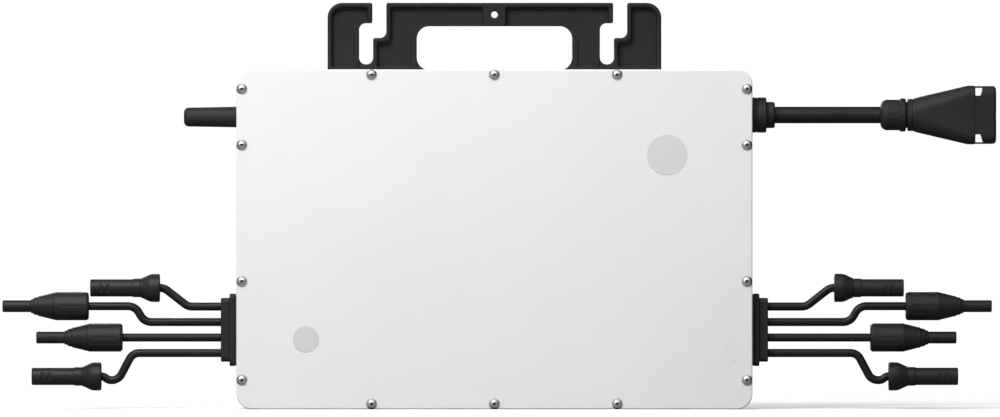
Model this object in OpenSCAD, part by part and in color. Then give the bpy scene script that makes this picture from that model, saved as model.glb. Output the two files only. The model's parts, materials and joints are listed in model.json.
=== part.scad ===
// Four-input solar inverter of the module-level kind: a die-cast casing with a screwed front cover,
// a hanging bracket, eight solar leads, one grid lead and a stub antenna.
// Frame: +Z up and the cover faces -Y. The origin is the bracket's fixing hole at the rear plane.

/* [Casing] */
// Width of the casing
case_w = 331; // [326:1:340]
// Height of the casing
case_h = 218; // [215:1:226]
// Depth from the cover's face to the rear plane
case_d = 34.6; // [34.2:0.2:38]
// Corner radius of the casing
case_r = 10; // [8:0.5:13]
// Casting wall thickness
wall = 3.5; // [3:0.25:4]
// Cover plate thickness
cover_t = 2; // [1.5:0.25:2.5]
// Height of the cooling fins on the rear
fin_h = 6; // [5:0.5:7]
// Number of cooling fins
fin_count = 25; // [15:2:29]
// Drop from the fixing hole to the casing's top edge
case_drop = 35.6; // [35.4:0.2:38]

/* [Cover screws] */
// Screw head diameter, which is also twice the distance from hole to casing edge
head_d = 7; // [6.6:0.2:7.6]
// Screw thread diameter
thread_d = 3.5; // [3:0.5:3.5]
// Spacing of the three screws along the top and bottom edges
row_pitch = 78.8; // [70:0.4:90]

/* [Bracket] */
// Width of the hanging bracket
bracket_w = 214.8; // [212:0.4:220]
// Height of the bracket above the fixing hole
bracket_rise = 7.6; // [7.2:0.2:9]
// Bracket thickness
bracket_t = 8; // [7:0.5:8.5]
// Depth of the moulded recess in the bracket's front
recess = 4; // [2:0.5:5]
// Width of the raised rim round the recess
rim = 2.8; // [2:0.2:3.2]
// Width of the hanging slots, for an M8 bolt
slot_w = 9; // [8.6:0.1:9.2]
// Distance between the two hanging slots
slot_pitch = 155; // [154:0.5:157]
// Width of the hand hole
window_w = 100; // [90:1:104]
// Fixing hole diameter, for an M4 screw
fixing_d = 4.3; // [4.3:0.1:5]

/* [Leads] */
// Outside diameter of a solar cable
pv_cable_d = 5.3; // [5:0.1:5.5]
// Vertical distance between solar cables
pv_pitch = 9.95; // [9.6:0.05:10.2]
// Drop from the fixing hole to the middle of the solar glands
pv_drop = 202.7; // [200:0.5:205]
// Outside diameter of the grid cable
ac_cable_d = 10.7; // [9.5:0.1:11]
// Drop from the fixing hole to the grid cable
ac_drop = 64.7; // [64:0.5:72]
// Distance from the casing's middle to the rear of the grid cable's cap nut
ac_reach = 247.8; // [240:0.2:260]
// Distance from the casing's middle to the nearest solar connector on the left
left_reach = 215; // [212:0.1:222]
// Distance from the casing's middle to the nearest solar connector on the right
right_reach = 218.3; // [212:0.1:222]

/* [Antenna] */
// Length of the antenna stub outside the casing
antenna_l = 34; // [28:1:40]
// Diameter of the stub at its root
antenna_d = 13.3; // [12.8:0.1:14]
// Drop from the fixing hole to the antenna
antenna_drop = 66; // [64:0.5:70]

/* [Hidden] */
$fn = 48;

// Clearances between pieces that are assembled
loose = 0.1;
slip = 0.05;

// How far a cut runs past the surface it opens, and a length that passes right through
past = 1;
through = 60;

// How far a cable's straights run into its bends, and how much thicker the bends are
lap = 0.1;
swell = 0.02;

// Colours of the finishes
white_paint = [0.9, 0.91, 0.91];
black_plastic = [0.13, 0.13, 0.13];
black_rubber = [0.09, 0.09, 0.09];
steel = [0.75, 0.75, 0.74];
label_grey = [0.82, 0.82, 0.82];
tin = [0.7, 0.68, 0.62];

// Levels in depth, from the rear plane at 0 towards the cover
cover_front = -case_d;
cover_back = -case_d + cover_t;
floor_out = -fin_h;
floor_in = -fin_h - wall;
mid_y = (cover_back + floor_out) / 2;

// Levels in height
case_top = -case_drop;
case_mid = case_top - case_h / 2;
case_bottom = case_top - case_h;
seat_h = 16;

// Drops of the four screws down each side of the cover, from the top edge
side_drops = [12.6, 48.5, 136, 199.3];
screw_inset = head_d / 2;

// The flange that the cover seals on
flange_in = 10.5;
flange_t = 4;
boss_r = 4;
boss_l = 14;
thread_l = boss_l - 2;
groove_inset = 6.6;
groove_w = 2.2;
groove_deep = 1.5;

// Fins, and how deep their roots run into the floor
fin_w = 2.5;
fin_root = 1;

// Threads in the casing: the bracket's screws, the antenna and the grid gland
bracket_thread_r = 2;
antenna_thread_r = 4;
ac_thread_r = 8;
opening_l = flange_in + 4;

// Bracket slot: an open channel beside a closed column
column_x = -82.6;
channel_x = -74.1;
column_top = -5.5;
column_foot = -32;
channel_floor = -15;
bracket_r = 9.5;
bracket_foot = case_top - seat_h + 1.5;
window_top = -7.4;
window_r = 8;
boss_w = 15;
bracket_screw_xs = [-92, -32, 32, 92];
bracket_screw_z = case_top - seat_h / 2;
sunk_head_r = 3.8;
sunk_head_l = 2.6;
counterbore = 3;

// Antenna stub
antenna_thread_l = 8;
antenna_rod_r = 1.5;
antenna_tip_r = 3;

// Discs and port marks on the cover
label_d = 25.7;
label_at = [110.9, -90.6];
lens_d = 16.7;
lens_at = [-120.8, -208.9];
disc_deep = 0.6;
pipe_r = 3;
mark_deep = 0.3;
mark_w = 8.4;
mark_h = 14.5;
mark_line = 0.9;
mark_x = 152.5;

// Solar glands: a flange, a stepped body and a tongue through the wall
gland_seal_t = 1;
gland_flange = [3.6, 18, 46.5];
gland_body = [5.6, 14.5, 41];
gland_tongue = [8, 12, 36];
gland_r = 3;
gland_face = case_w / 2 + gland_seal_t + gland_flange[0] + gland_body[0];

// Lead hinges: a ball end in a cup, a short way out from the gland
pv_stub = 11;
pv_hinge = gland_face + pv_stub;
pv_tail_in = 28;
ac_gland_l = 14.7;
ac_thread_l = 13;
ac_stub = 16;
ac_hinge = case_w / 2 + ac_gland_l + ac_stub;
ac_tail_in = 26;
cup_back = 0.85;

// How much further out each solar connector is than the nearest one, from the top
left_stagger = [0, 45.7, 24, 37.6];
right_stagger = [0, 45.9, 23.2, 34.9];

// Solar connectors, along their own axis from the cap nut's rear face
lead_in = 9;
nut_d = 18.2;
contact_r = 2;
plug_nut_l = 22.6;
plug_tail_r = 6.6;
plug_l = 55.4;
plug_nose_d = 7.7;
plug_nose_l = 18.1;
plug_bore_r = 2.9;
plug_bore_l = 16;
socket_nut_l = 12.3;
socket_tail_r = 4.7;
socket_l = 44.7;
socket_d = 11.2;
socket_bore_l = 21;
socket_seat_d = 8.6;
socket_seat_l = 5;

// Latch slots of a socket, from its mouth, and the flat that they are cut in
slot_at = [7.5, 11.5];
slot_size = [2.2, 2, 5.4];
flat_at = 9.5;
flat_size = [6.4, 1.4, 6.6];

// Grid coupler, along its own axis from the cap nut's rear face
ac_nut_l = 16.4;
coupler_l = 74.3;
coupler_neck_d = 20.4;
coupler_wide = 37.7;
coupler_deep = 24.4;
shoulder_at = 56.8;
coupler_tail_r = 8;
coupler_bore_r = 9;
coupler_bore_l = 20;
coupler_seat_d = 20;
coupler_seat_l = 6;
coupler_r = 7;
latch_l = coupler_l - shoulder_at - loose;
latch_in = coupler_deep / 2 + 0.3;

// Main board and the parts on it
board_inset = 14;
board_gap = 2.5;
board_back = floor_in - board_gap;
board_t = 1.6;
board_front = board_back - board_t;
board_front_to_floor = board_gap + board_t;
post_r = 3.5;
post_bore_r = 1.25;
post_at = [for (x = [-118, 0, 118], z = [-84, 84]) [x, z]];
transformer_xs = [-96, -36, 36, 96];
transformer_z = case_mid - 22;
core_size = [38, 17, 32];
core_wall = 5;
core_back = 4;
core_post_r = 6;
winding_r = 13.5;
can_r = 8;
transistor_size = [10, board_gap, 9];
transistor_z = case_mid - 88;

// ---- Shapes that repeat ----

// Extrudes a drawing in X and Z from level y_back by t towards the cover
module slab(y_back, t) translate([0, y_back, 0]) rotate([90, 0, 0]) linear_extrude(t) children();

// A rectangle with rounded corners, centred on the origin
module round_rect(w, h, r) {
    square([w - 2 * r, h], center = true);
    square([w, h - 2 * r], center = true);
    for (x = [-1, 1], z = [-1, 1]) translate([x * (w / 2 - r), z * (h / 2 - r)]) circle(r);
}

// The casing's outline, moved inwards by inset
module case_outline(inset = 0) {
    translate([0, case_mid]) round_rect(case_w - 2 * inset, case_h - 2 * inset, max(case_r - inset, 1));
}

// Puts children at every cover screw, as places in X and Z
module at_cover_screws() {
    for (x = [-1, 0, 1], z = [case_top - screw_inset, case_bottom + screw_inset])
        translate([x * row_pitch, 0, z]) children();
    for (x = [-1, 1], drop = side_drops)
        translate([x * (case_w / 2 - screw_inset), 0, case_top - drop]) children();
}

// A cylinder along Y, from level y_back by l towards the cover
module stem(r, y_back, l) translate([0, y_back, 0]) rotate([90, 0, 0]) cylinder(r = r, h = l);

// A cylinder along X
module rod(r, l) rotate([0, 90, 0]) cylinder(r = r, h = l);

// A solid of revolution about X, from a list of [place along X, radius]
module turned(profile) {
    ends = [[0, profile[0][0]], [0, profile[len(profile) - 1][0]]];
    outline = concat([ends[0]], [for (p = profile) [p[1], p[0]]], [ends[1]]);
    rotate([0, 90, 0]) rotate_extrude() polygon(outline);
}

// A box from its middle and size
module block(at, size) translate(at) cube(size, center = true);

// A hexagon nut along X
module hex_nut(corner_r, hole_r, t) rotate([0, 90, 0]) difference() {
    cylinder(r = corner_r, h = t, $fn = 6);
    translate([0, 0, -past]) cylinder(r = hole_r, h = t + 2 * past);
}

// A domed screw head with a cross recess, and its shank, pointing at the rear plane
module pan_screw(head_r, head_h, shank_r, shank_l) {
    dome_r = (head_r * head_r + head_h * head_h) / (2 * head_h);
    arm = head_r * 0.95;
    difference() {
        intersection() {
            translate([0, dome_r - head_h, 0]) sphere(dome_r);
            stem(head_r, 0, head_h);
        }
        for (turn = [0, 90]) rotate([0, turn, 0]) block([0, -head_h, 0], [arm, head_h * 1.2, arm / 4]);
    }
    translate([0, shank_l, 0]) stem(shank_r, 0, shank_l);
}

// ---- Casing ----

module rear_housing() {
    color(white_paint) difference() {
        union() {
            slab(floor_out, case_d - cover_t - fin_h) case_outline();
            fins();
        }
        cavity();
        bracket_seat();
        slab(cover_back + groove_deep, groove_deep + past) seal_ring();
        at_cover_screws() stem(thread_d / 2, cover_back + thread_l, thread_l + past);
        for (x = bracket_screw_xs) translate([x, 0, bracket_screw_z])
            stem(bracket_thread_r, 0, bracket_t + wall * 0.75);
        wall_openings();
    }
    color(white_paint) board_posts();
}

// Straight vertical fins, below the bracket's seat
module fins() {
    span = case_w - 2 * case_r - fin_w;
    long = case_h - seat_h - case_r;
    z = case_bottom + (case_r + long) / 2;
    for (i = [0 : fin_count - 1]) {
        x = span * (i / (fin_count - 1) - 0.5);
        block([x, (floor_out - fin_root) / 2, z], [fin_w, fin_h + fin_root, long]);
    }
}

// The hollow inside, which leaves the walls, the screw bosses and the flange
module cavity() {
    difference() {
        slab(floor_in, case_d) case_outline(wall);
        at_cover_screws() stem(boss_r, cover_back + boss_l, boss_l);
        seat_backing();
        slab(cover_back + flange_t, flange_t) difference() {
            case_outline();
            case_outline(flange_in);
        }
    }
}

// The part of the casting behind and below the bracket's seat
module seat_backing() {
    slab(0, bracket_t + wall) translate([-case_w / 2, case_top - seat_h - wall])
        square([case_w, seat_h + wall]);
}

// The stepped-back strip across the top of the rear, where the bracket bolts on
module bracket_seat() {
    slab(past, bracket_t + past) translate([-case_w / 2 - past, case_top - seat_h])
        square([case_w + 2 * past, seat_h + past]);
}

module seal_ring() {
    difference() {
        case_outline(groove_inset);
        case_outline(groove_inset + groove_w);
    }
}

// Holes through the side walls for the antenna and the glands
module wall_openings() {
    tongue = [opening_l, gland_tongue[1] + loose, gland_tongue[2] + loose];
    translate([-case_w / 2 - past, mid_y, -antenna_drop]) rod(antenna_thread_r, opening_l);
    translate([case_w / 2 - flange_in, mid_y, -ac_drop]) rod(ac_thread_r + slip, opening_l);
    for (x = [-1, 1]) block([x * case_w / 2, mid_y, -pv_drop], tongue);
}

module board_posts() {
    for (p = post_at) translate([p[0], 0, case_mid + p[1]]) difference() {
        stem(post_r, floor_in + wall / 2, board_gap + wall / 2);
        stem(post_bore_r, floor_in, board_gap + past);
    }
}

module front_cover() {
    color(white_paint) difference() {
        slab(cover_back, cover_t) case_outline();
        at_cover_screws() stem(thread_d / 2 + 2 * loose, 0, case_d + past);
        translate([label_at[0], 0, label_at[1]]) stem(label_d / 2, cover_front + disc_deep, past);
        translate([lens_at[0], 0, lens_at[1]]) {
            stem(lens_d / 2, cover_front + disc_deep, past);
            stem(pipe_r + loose, 0, case_d);
        }
        port_marks();
    }
}

// Four engraved brackets, each round the pair of leads of one solar input, with a plus and a minus
module port_marks() {
    deep = 2 * mark_deep;
    for (side = [-1, 1], pair = [-1, 1]) {
        z = -pv_drop + pair * pv_pitch * 1.7;
        translate([side * mark_x, cover_front, z]) {
            block([-side * mark_w / 2, 0, 0], [mark_line, deep, mark_h]);
            for (end = [-1, 1]) {
                block([-side * mark_w / 4, 0, end * mark_h / 2], [mark_w / 2, deep, mark_line]);
                block([side * mark_w / 6, 0, end * mark_h / 4], [mark_w / 3, deep, mark_line]);
            }
            block([side * mark_w / 6, 0, -pair * mark_h / 4], [mark_line, deep, mark_w / 3]);
        }
    }
}

module cover_seal() color(black_rubber) slab(cover_back + groove_deep, groove_deep) seal_ring();

module cover_screws() {
    color(steel) at_cover_screws() translate([0, cover_front, 0])
        pan_screw(head_d / 2, head_d * 0.3, thread_d / 2 - slip, cover_t + thread_l - past);
}

module blank_label() {
    color(label_grey) translate([label_at[0], 0, label_at[1]])
        stem(label_d / 2 - slip, cover_front + disc_deep, disc_deep);
}

// A flush diffuser disc with a light pipe that reaches down to the indicator on the board
module status_lens() {
    color(label_grey) translate([lens_at[0], 0, lens_at[1]]) {
        stem(lens_d / 2 - slip, cover_front + disc_deep, disc_deep);
        stem(pipe_r, board_front - 2, board_front - 2 - cover_front - disc_deep / 2);
    }
}

// ---- Hanging bracket ----

// One hanging slot, grown by g: the channel lets a bolt in from above, and the column holds it
module slot_outline(g) {
    r = slot_w / 2 + g;
    translate([channel_x, channel_floor + slot_w / 2]) {
        circle(r);
        translate([-r, -r]) square([r, r]);
        translate([-r, 0]) square([2 * r, through]);
    }
    translate([column_x, column_foot + slot_w / 2]) circle(r);
    translate([column_x - r, column_foot + slot_w / 2]) square([2 * r, column_top - column_foot - slot_w]);
    translate([column_x, column_top - slot_w / 2]) {
        circle(r);
        square([r, r]);
    }
}

module slots(g = 0) for (x = [0, slot_pitch]) translate([x, 0]) slot_outline(g);

// The hand hole, grown by g
module window(g = 0) {
    h = window_top - case_top;
    translate([0, window_top - h / 2]) round_rect(window_w + 2 * g, h + 2 * g, window_r + g);
}

// The bracket's plate with its two top corners rounded, moved inwards by inset
module plate(inset = 0) {
    w = bracket_w - 2 * inset;
    r = bracket_r - inset;
    top = bracket_rise - inset;
    foot = bracket_foot + inset;
    translate([-w / 2, foot]) square([w, top - r - foot]);
    translate([-w / 2 + r, foot]) square([w - 2 * r, top - foot]);
    for (x = [-1, 1]) translate([x * (w / 2 - r), top - r]) circle(r);
}

module hanging_bracket() {
    color(black_plastic) difference() {
        slab(0, bracket_t) difference() {
            plate();
            slots();
            window();
        }
        slab(recess - bracket_t, recess + past) difference() {
            plate(rim);
            slots(rim);
            window(rim);
            translate([-boss_w / 2, window_top]) square([boss_w, through]);
            translate([-bracket_w, case_top + rim / 2 - through]) square([2 * bracket_w, through]);
        }
        stem(fixing_d / 2, past, bracket_t + 2 * past);
        for (x = bracket_screw_xs) translate([x, 0, bracket_screw_z]) {
            stem(bracket_thread_r + 2 * loose, past, bracket_t + 2 * past);
            stem(sunk_head_r + 4 * loose, past, counterbore + past);
        }
    }
}

// Cap screws sunk in the bracket's rear, which thread forwards into the casting
module bracket_screws() {
    color(steel) for (x = bracket_screw_xs) translate([x, 0, bracket_screw_z]) {
        difference() {
            stem(sunk_head_r, sunk_head_l - counterbore, sunk_head_l);
            translate([0, past, 0]) rotate([90, 0, 0]) cylinder(r = 1.6, h = counterbore, $fn = 6);
        }
        stem(bracket_thread_r - slip, loose - counterbore, bracket_t - 5 * loose);
    }
}

// ---- Antenna ----

module antenna_cover() {
    root = antenna_d / 2;
    tip = root * 0.91;
    arc = [for (a = [0 : 15 : 90]) [antenna_l, tip] + antenna_tip_r * [sin(a) - 1, cos(a) - 1]];
    color(black_plastic) translate([-case_w / 2, mid_y, -antenna_drop]) mirror([1, 0, 0]) difference() {
        union() {
            turned(concat([[0, root]], arc));
            translate([-antenna_thread_l, 0, 0]) rod(antenna_thread_r - slip, antenna_thread_l + past);
        }
        translate([-antenna_thread_l - past, 0, 0])
            rod(antenna_rod_r + loose, antenna_l + antenna_thread_l / 2);
    }
}

module antenna_rod() {
    color(tin) translate([-case_w / 2 + opening_l, mid_y, -antenna_drop]) mirror([1, 0, 0])
        rod(antenna_rod_r, antenna_l + opening_l - antenna_thread_l);
}

module antenna_nut() {
    color(steel) translate([-case_w / 2 + wall + 2 * loose, mid_y, -antenna_drop])
        hex_nut(antenna_thread_r * 1.5, antenna_thread_r, 3.5);
}

// ---- Solar glands and the fixed ends of the solar cables ----

// A block with rounded edges along X, from x by size[0] outwards
module gland_step(x, size) {
    translate([x, mid_y, -pv_drop]) rotate([90, 0, 90]) linear_extrude(size[0])
        round_rect(size[1], size[2], gland_r);
}

// Puts children at each of the four solar cables on the right-hand side
module at_pv_cables() for (i = [0 : 3]) translate([0, mid_y, pv_z(i)]) children();

function pv_z(i) = -pv_drop + (1.5 - i) * pv_pitch;

module both_sides() {
    children();
    mirror([1, 0, 0]) children();
}

module pv_glands() {
    flange_x = case_w / 2 + gland_seal_t;
    color(black_plastic) both_sides() difference() {
        union() {
            gland_step(flange_x, gland_flange);
            gland_step(flange_x + gland_flange[0], gland_body);
            block([flange_x - gland_tongue[0] / 2, mid_y, -pv_drop], gland_tongue);
        }
        at_pv_cables() translate([case_w / 2 - through / 2, 0, 0]) rod(pv_cable_d / 2 + slip, through);
    }
}

module pv_gland_seals() {
    size = [gland_seal_t, gland_flange[1] - 0.6, gland_flange[2] - 0.6];
    color(black_rubber) both_sides() difference() {
        gland_step(case_w / 2, size);
        block([case_w / 2, mid_y, -pv_drop], gland_tongue + [past, slip, slip]);
    }
}

// A fixed cable end along X: it starts inside the casing and ends in a cup for the lead's ball
module cable_tail(d, hinge, from) {
    difference() {
        translate([from, 0, 0]) rod(d / 2, hinge - cup_back * d / 2 - from);
        translate([hinge, 0, 0]) sphere(d / 2 + slip);
    }
}

module pv_tails() {
    color(black_rubber) both_sides() at_pv_cables() cable_tail(pv_cable_d, pv_hinge, case_w / 2 - pv_tail_in);
}

// ---- Solar leads ----

// A double bend that rises by rise at a given slope, with a straight after it: a list of bends as
// [radius, angle] and of straights as [length, 0]
function run_of(rise, slope, r) = (abs(rise) - 2 * r * (1 - cos(slope))) / sin(slope);
function s_bend(rise, slope, r, after) =
    let (turn = sign(rise) * slope) [[r, turn], [run_of(rise, slope, r), 0], [r, -turn], [after, 0]];
function s_length(rise, slope, r, after) = 2 * r * sin(slope) + run_of(rise, slope, r) * cos(slope) + after;

// The double bends of the four leads from the top, as [rise, slope, radius, straight after]
lead_bends = [
    [[12, 38, 8, lead_in]],
    [[10.2, 60, 8, lead_in + 25.2]],
    [],
    [[-17.4, 62, 7, 0.6], [2.4, 40, 4.5, lead_in]],
];

function sum(v, i = 0) = i == len(v) ? 0 : v[i] + sum(v, i + 1);
function bends_length(i) = sum([for (b = lead_bends[i]) s_length(b[0], b[1], b[2], b[3])]);
function bends_rise(i) = sum([for (b = lead_bends[i]) b[0]]);
function bends_path(i) = [for (b = lead_bends[i]) each s_bend(b[0], b[1], b[2], b[3])];
function lead_path(i, reach) = concat([[reach + lead_in - pv_hinge - bends_length(i), 0]], bends_path(i));

// The profile of a rod whose start is half a ball centred on the origin
function round_start(r, l) = concat([for (a = [15 : 15 : 90]) [-r * cos(a), r * sin(a)]], [[l, r]]);

// Follows a path in the XZ plane with a round cable, from a round start at the origin along +X. Straights
// run a little way into the bends, which are a little thicker, so that no two surfaces coincide.
module cable(path, d, i = 0) {
    if (i < len(path)) {
        size = path[i][0];
        turn = path[i][1];
        if (turn == 0) {
            if (i == 0) turned(round_start(d / 2, size + lap));
            else translate([-lap, 0, 0]) rod(d / 2, size + 2 * lap);
            translate([size, 0, 0]) cable(path, d, i + 1);
        } else {
            up = turn > 0 ? 0 : 1;
            mirror([0, 0, up]) translate([0, 0, size]) rotate([90, 0, 0]) rotate([0, 0, -90])
                rotate_extrude(angle = abs(turn)) translate([size, 0]) circle(d / 2 + swell);
            translate([size * sin(abs(turn)), 0, sign(turn) * size * (1 - cos(turn))]) rotate([0, -turn, 0])
                cable(path, d, i + 1);
        }
    }
}

// Leads 1 to 4 run down the left side, and 5 to 8 down the right
function is_left(n) = n <= 4;
function row(n) = (n - 1) % 4;
function reach(n) = is_left(n) ? left_reach + left_stagger[row(n)] : right_reach + right_stagger[row(n)];
function is_plug(n) = row(n) == 1 || row(n) == 2;

module on_side(n) mirror([is_left(n) ? 1 : 0, 0, 0]) children();

module at_connector(n) {
    on_side(n) translate([reach(n), mid_y, pv_z(row(n)) + bends_rise(row(n))]) children();
}

// A lead: the cable from its ball end, and the contact crimped on it as a second solid
module pv_lead(n) {
    color(black_rubber) on_side(n) translate([pv_hinge, mid_y, pv_z(row(n))])
        cable(lead_path(row(n), reach(n)), pv_cable_d);
    color(tin) at_connector(n) translate([lead_in, 0, 0]) {
        if (is_plug(n)) plug_contact();
        else socket_contact();
    }
}

// A plug's contact is a sleeve, and a socket's is a pin
module plug_contact() {
    sleeve_at = plug_l - lead_in - 15;
    difference() {
        rod(contact_r, plug_l - lead_in - 3);
        translate([sleeve_at, 0, 0]) rod(contact_r * 0.65, plug_l - sleeve_at);
    }
}

module socket_contact() {
    pin_r = contact_r * 0.6;
    pin_end = socket_l - lead_in - 8;
    turned([[0, contact_r], [12, contact_r], [12, pin_r], [pin_end - 1, pin_r], [pin_end, pin_r / 2]]);
}

// The moulded half that carries the contact, with a tail that the cap nut screws over
module pv_connector(n) {
    color(black_plastic) at_connector(n) {
        if (is_plug(n)) plug_body();
        else socket_body();
    }
}

// A plug: a round nose that enters the mating half, behind two latching shoulders
module plug_body() {
    nose_at = plug_l - plug_nose_l;
    nose_r = plug_nose_d / 2;
    nut_r = nut_d / 2;
    difference() {
        turned([[lead_in + 1, plug_tail_r], [plug_nut_l + loose, plug_tail_r], [plug_nut_l + loose, nut_r],
            [plug_nut_l + 1, nut_r], [30.5, 6.5], [31.6, 6.5], [32.4, 5.6], [35, 5], [35.5, 4.5],
            [nose_at, 4.3], [nose_at, nose_r], [plug_l - 0.5, nose_r], [plug_l, nose_r - 0.5]]);
        rod(contact_r + loose, plug_l + past);
        translate([plug_l - plug_bore_l, 0, 0]) rod(plug_bore_r, plug_bore_l + past);
    }
}

// A socket: a round mouth with a seal seat, and a flat with two latch slots in its front and its rear
module socket_body() {
    r = socket_d / 2;
    difference() {
        turned([[lead_in + loose, socket_tail_r], [socket_nut_l + loose, socket_tail_r],
            [socket_nut_l + loose, 6.05], [17, 6.05], [17.6, r], [socket_l - 0.4, r], [socket_l, r - 0.4]]);
        rod(contact_r + loose, socket_l);
        translate([socket_l - socket_bore_l, 0, 0]) rod(plug_nose_d / 2 + 2 * loose, socket_bore_l + past);
        translate([socket_l - socket_seat_l, 0, 0]) rod(socket_seat_d / 2, socket_seat_l + past);
        for (y = [-1, 1]) {
            for (x = slot_at) block([socket_l - x, y * r, 0], slot_size);
            block([socket_l - flat_at, y * (r + 3 * loose), 0], flat_size);
        }
    }
}

// The nut that squeezes the cable seal, with finger flutes on a plug
module pv_cap_nut(n) {
    r = nut_d / 2;
    color(black_plastic) at_connector(n) difference() {
        if (is_plug(n)) difference() {
            turned([[0, r - 0.9], [0.9, r], [plug_nut_l - 0.3, r], [plug_nut_l, r - 0.3]]);
            for (a = [0 : 30 : 330]) rotate([a, 0, 0]) translate([4, 0, r + 1]) rod(1.5, plug_nut_l - 8);
        }
        else turned([[0, r - 0.5], [0.5, r], [3.7, r], [6.4, 8.5], [9.5, 6.9], [socket_nut_l, 6.1]]);
        rod(pv_cable_d / 2 + loose, through);
        if (is_plug(n)) translate([lead_in, 0, 0]) rod(plug_tail_r + slip, through);
        else translate([lead_in - 1.5, 0, 0]) rod(socket_tail_r + slip, through);
    }
}

// ---- Grid lead ----

module at_ac(x) translate([x, mid_y, -ac_drop]) children();

module ac_gland() {
    color(black_plastic) at_ac(case_w / 2) difference() {
        union() {
            turned([[0, 11.3], [8.7, 11.3], [9.2, 10.8], [9.2, 8.4], [ac_gland_l - 0.5, 8.4],
                [ac_gland_l, 7.9]]);
            translate([-ac_thread_l, 0, 0]) rod(ac_thread_r, ac_thread_l + past);
        }
        translate([-through / 2, 0, 0]) rod(ac_cable_d / 2 + slip, through);
    }
}

module ac_gland_nut() {
    nut_t = 4;
    color(steel) at_ac(case_w / 2 - wall - 2 * loose - nut_t) hex_nut(10.6, ac_thread_r + slip, nut_t);
}

module ac_tail() color(black_rubber) at_ac(0) cable_tail(ac_cable_d, ac_hinge, case_w / 2 - ac_tail_in);

module ac_cable() {
    color(black_rubber) at_ac(ac_hinge) cable([[ac_reach - ac_hinge + lead_in, 0]], ac_cable_d);
}

module ac_cap_nut() {
    bend = 4.4;
    arc = [for (a = [15 : 15 : 90]) [bend * (1 - cos(a)), 5.6 + bend * sin(a)]];
    color(black_plastic) at_ac(ac_reach) difference() {
        turned(concat(arc, [[10.2, 10], [10.8, 10.7], [15.6, 10.7], [ac_nut_l, 9.9]]));
        translate([-past, 0, 0]) rod(ac_cable_d / 2 + loose, ac_nut_l);
        translate([10.5, 0, 0]) rod(coupler_tail_r + slip, ac_nut_l);
    }
}

// The coupler's shell: it flares from a round neck to a wide shoulder, and a square mouth stands on that
module ac_coupler() {
    at_shoulder = shoulder_at - 3;
    color(black_plastic) at_ac(ac_reach) difference() {
        union() {
            hull() {
                translate([ac_nut_l + 1.6, 0, 0]) rod(coupler_neck_d / 2, 2, $fn = 32);
                coupler_slab(at_shoulder, shoulder_at - at_shoulder, coupler_wide);
            }
            coupler_slab(shoulder_at - past, coupler_l - shoulder_at + past, coupler_deep);
            translate([11, 0, 0]) rod(coupler_tail_r, 12);
        }
        translate([10, 0, 0]) rod(ac_cable_d / 2 + slip, 14);
        translate([coupler_l - coupler_bore_l, 0, 0]) rod(coupler_bore_r, coupler_bore_l + past);
        translate([coupler_l - coupler_seat_l, 0, 0]) rod(coupler_seat_d / 2, coupler_seat_l + past);
    }
}

module coupler_slab(x, l, wide) {
    translate([x, 0, 0]) rotate([90, 0, 90]) linear_extrude(l)
        round_rect(coupler_deep, wide, coupler_r, $fn = 32);
}

module ac_contacts() {
    color(tin) at_ac(ac_reach + coupler_l - 23) for (a = [90, 210, 330])
        rotate([a, 0, 0]) translate([3.02, 0, 4.5]) turned([[0, 1.6], [12, 1.6], [12.8, 0.8]]);
}

// A latch loop beside the mouth: a root block, a thin strip and an end block round an open window
module ac_latch(side) {
    mouth = coupler_wide / 2 - latch_in;
    at_window = 4.1;
    window_l = 5.5;
    strip = 1.1;
    color(black_plastic) at_ac(ac_reach + shoulder_at + loose) mirror([0, 0, side > 0 ? 0 : 1]) difference() {
        block([latch_l / 2, 0, latch_in + mouth / 2], [latch_l, 12, mouth]);
        block([at_window + window_l / 2, 0, latch_in + (mouth - strip) / 2 - past],
            [window_l, 14, mouth - strip + 2 * past]);
    }
}

// ---- Electronics ----

// Puts a box of size [x, y, z] on the board's front, with its middle at x and z
module on_board(x, z, size) block([x, board_front - size[1] / 2, z], size);

module main_board() {
    color([0.05, 0.3, 0.15]) difference() {
        slab(board_back, board_t) case_outline(board_inset);
        for (p = post_at) translate([p[0], 0, case_mid + p[1]]) stem(post_bore_r + loose, 0, case_d);
    }
}

module board_screws() {
    color(steel) for (p = post_at) translate([p[0], board_front, case_mid + p[1]])
        pan_screw(2.8, 1.8, post_bore_r - slip, board_front_to_floor - 3 * loose);
}

// E-cores with an open winding space on both sides of a round centre post
module transformer_cores() {
    color([0.18, 0.18, 0.2]) for (x = transformer_xs) difference() {
        on_board(x, transformer_z, core_size);
        difference() {
            on_board(x, transformer_z, core_size + [-2 * core_wall, -2 * core_back, past]);
            translate([x, 0, transformer_z]) stem(core_post_r, 0, case_d);
        }
        on_board(x, transformer_z, [core_size[0] - 2 * core_wall, core_back, core_size[2] + past]);
    }
}

module transformer_windings() {
    opening = core_size[1] - 3 * core_back;
    color([0.75, 0.45, 0.2]) for (x = transformer_xs) translate([x, 0, transformer_z]) difference() {
        stem(winding_r, board_front - core_back - slip, opening - 2 * loose);
        stem(core_post_r + 3 * loose, 0, case_d);
    }
}

// Cans lying side by side, two for each solar input
module input_capacitors() {
    color([0.15, 0.2, 0.4]) for (x = transformer_xs, side = [-1, 1])
        translate([x + side * (can_r + 0.6), board_front - can_r, case_mid - 76]) cylinder(r = can_r, h = 26);
}

module film_capacitors() {
    color([0.75, 0.7, 0.3]) for (x = [20, 50, 80]) on_board(x, case_mid + 62, [26, 15, 11]);
}

// Puts children at each transistor, halfway between the board and the casting's floor
module at_transistors() {
    for (x = transformer_xs, side = [-1, 1])
        translate([x + side * transistor_size[0], board_back + board_gap / 2, transistor_z]) children();
}

// Flat packages on the board's rear, which press on the casting's floor
module power_transistors() {
    color([0.12, 0.12, 0.12]) at_transistors() block([0, 0, 0], transistor_size);
}

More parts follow.
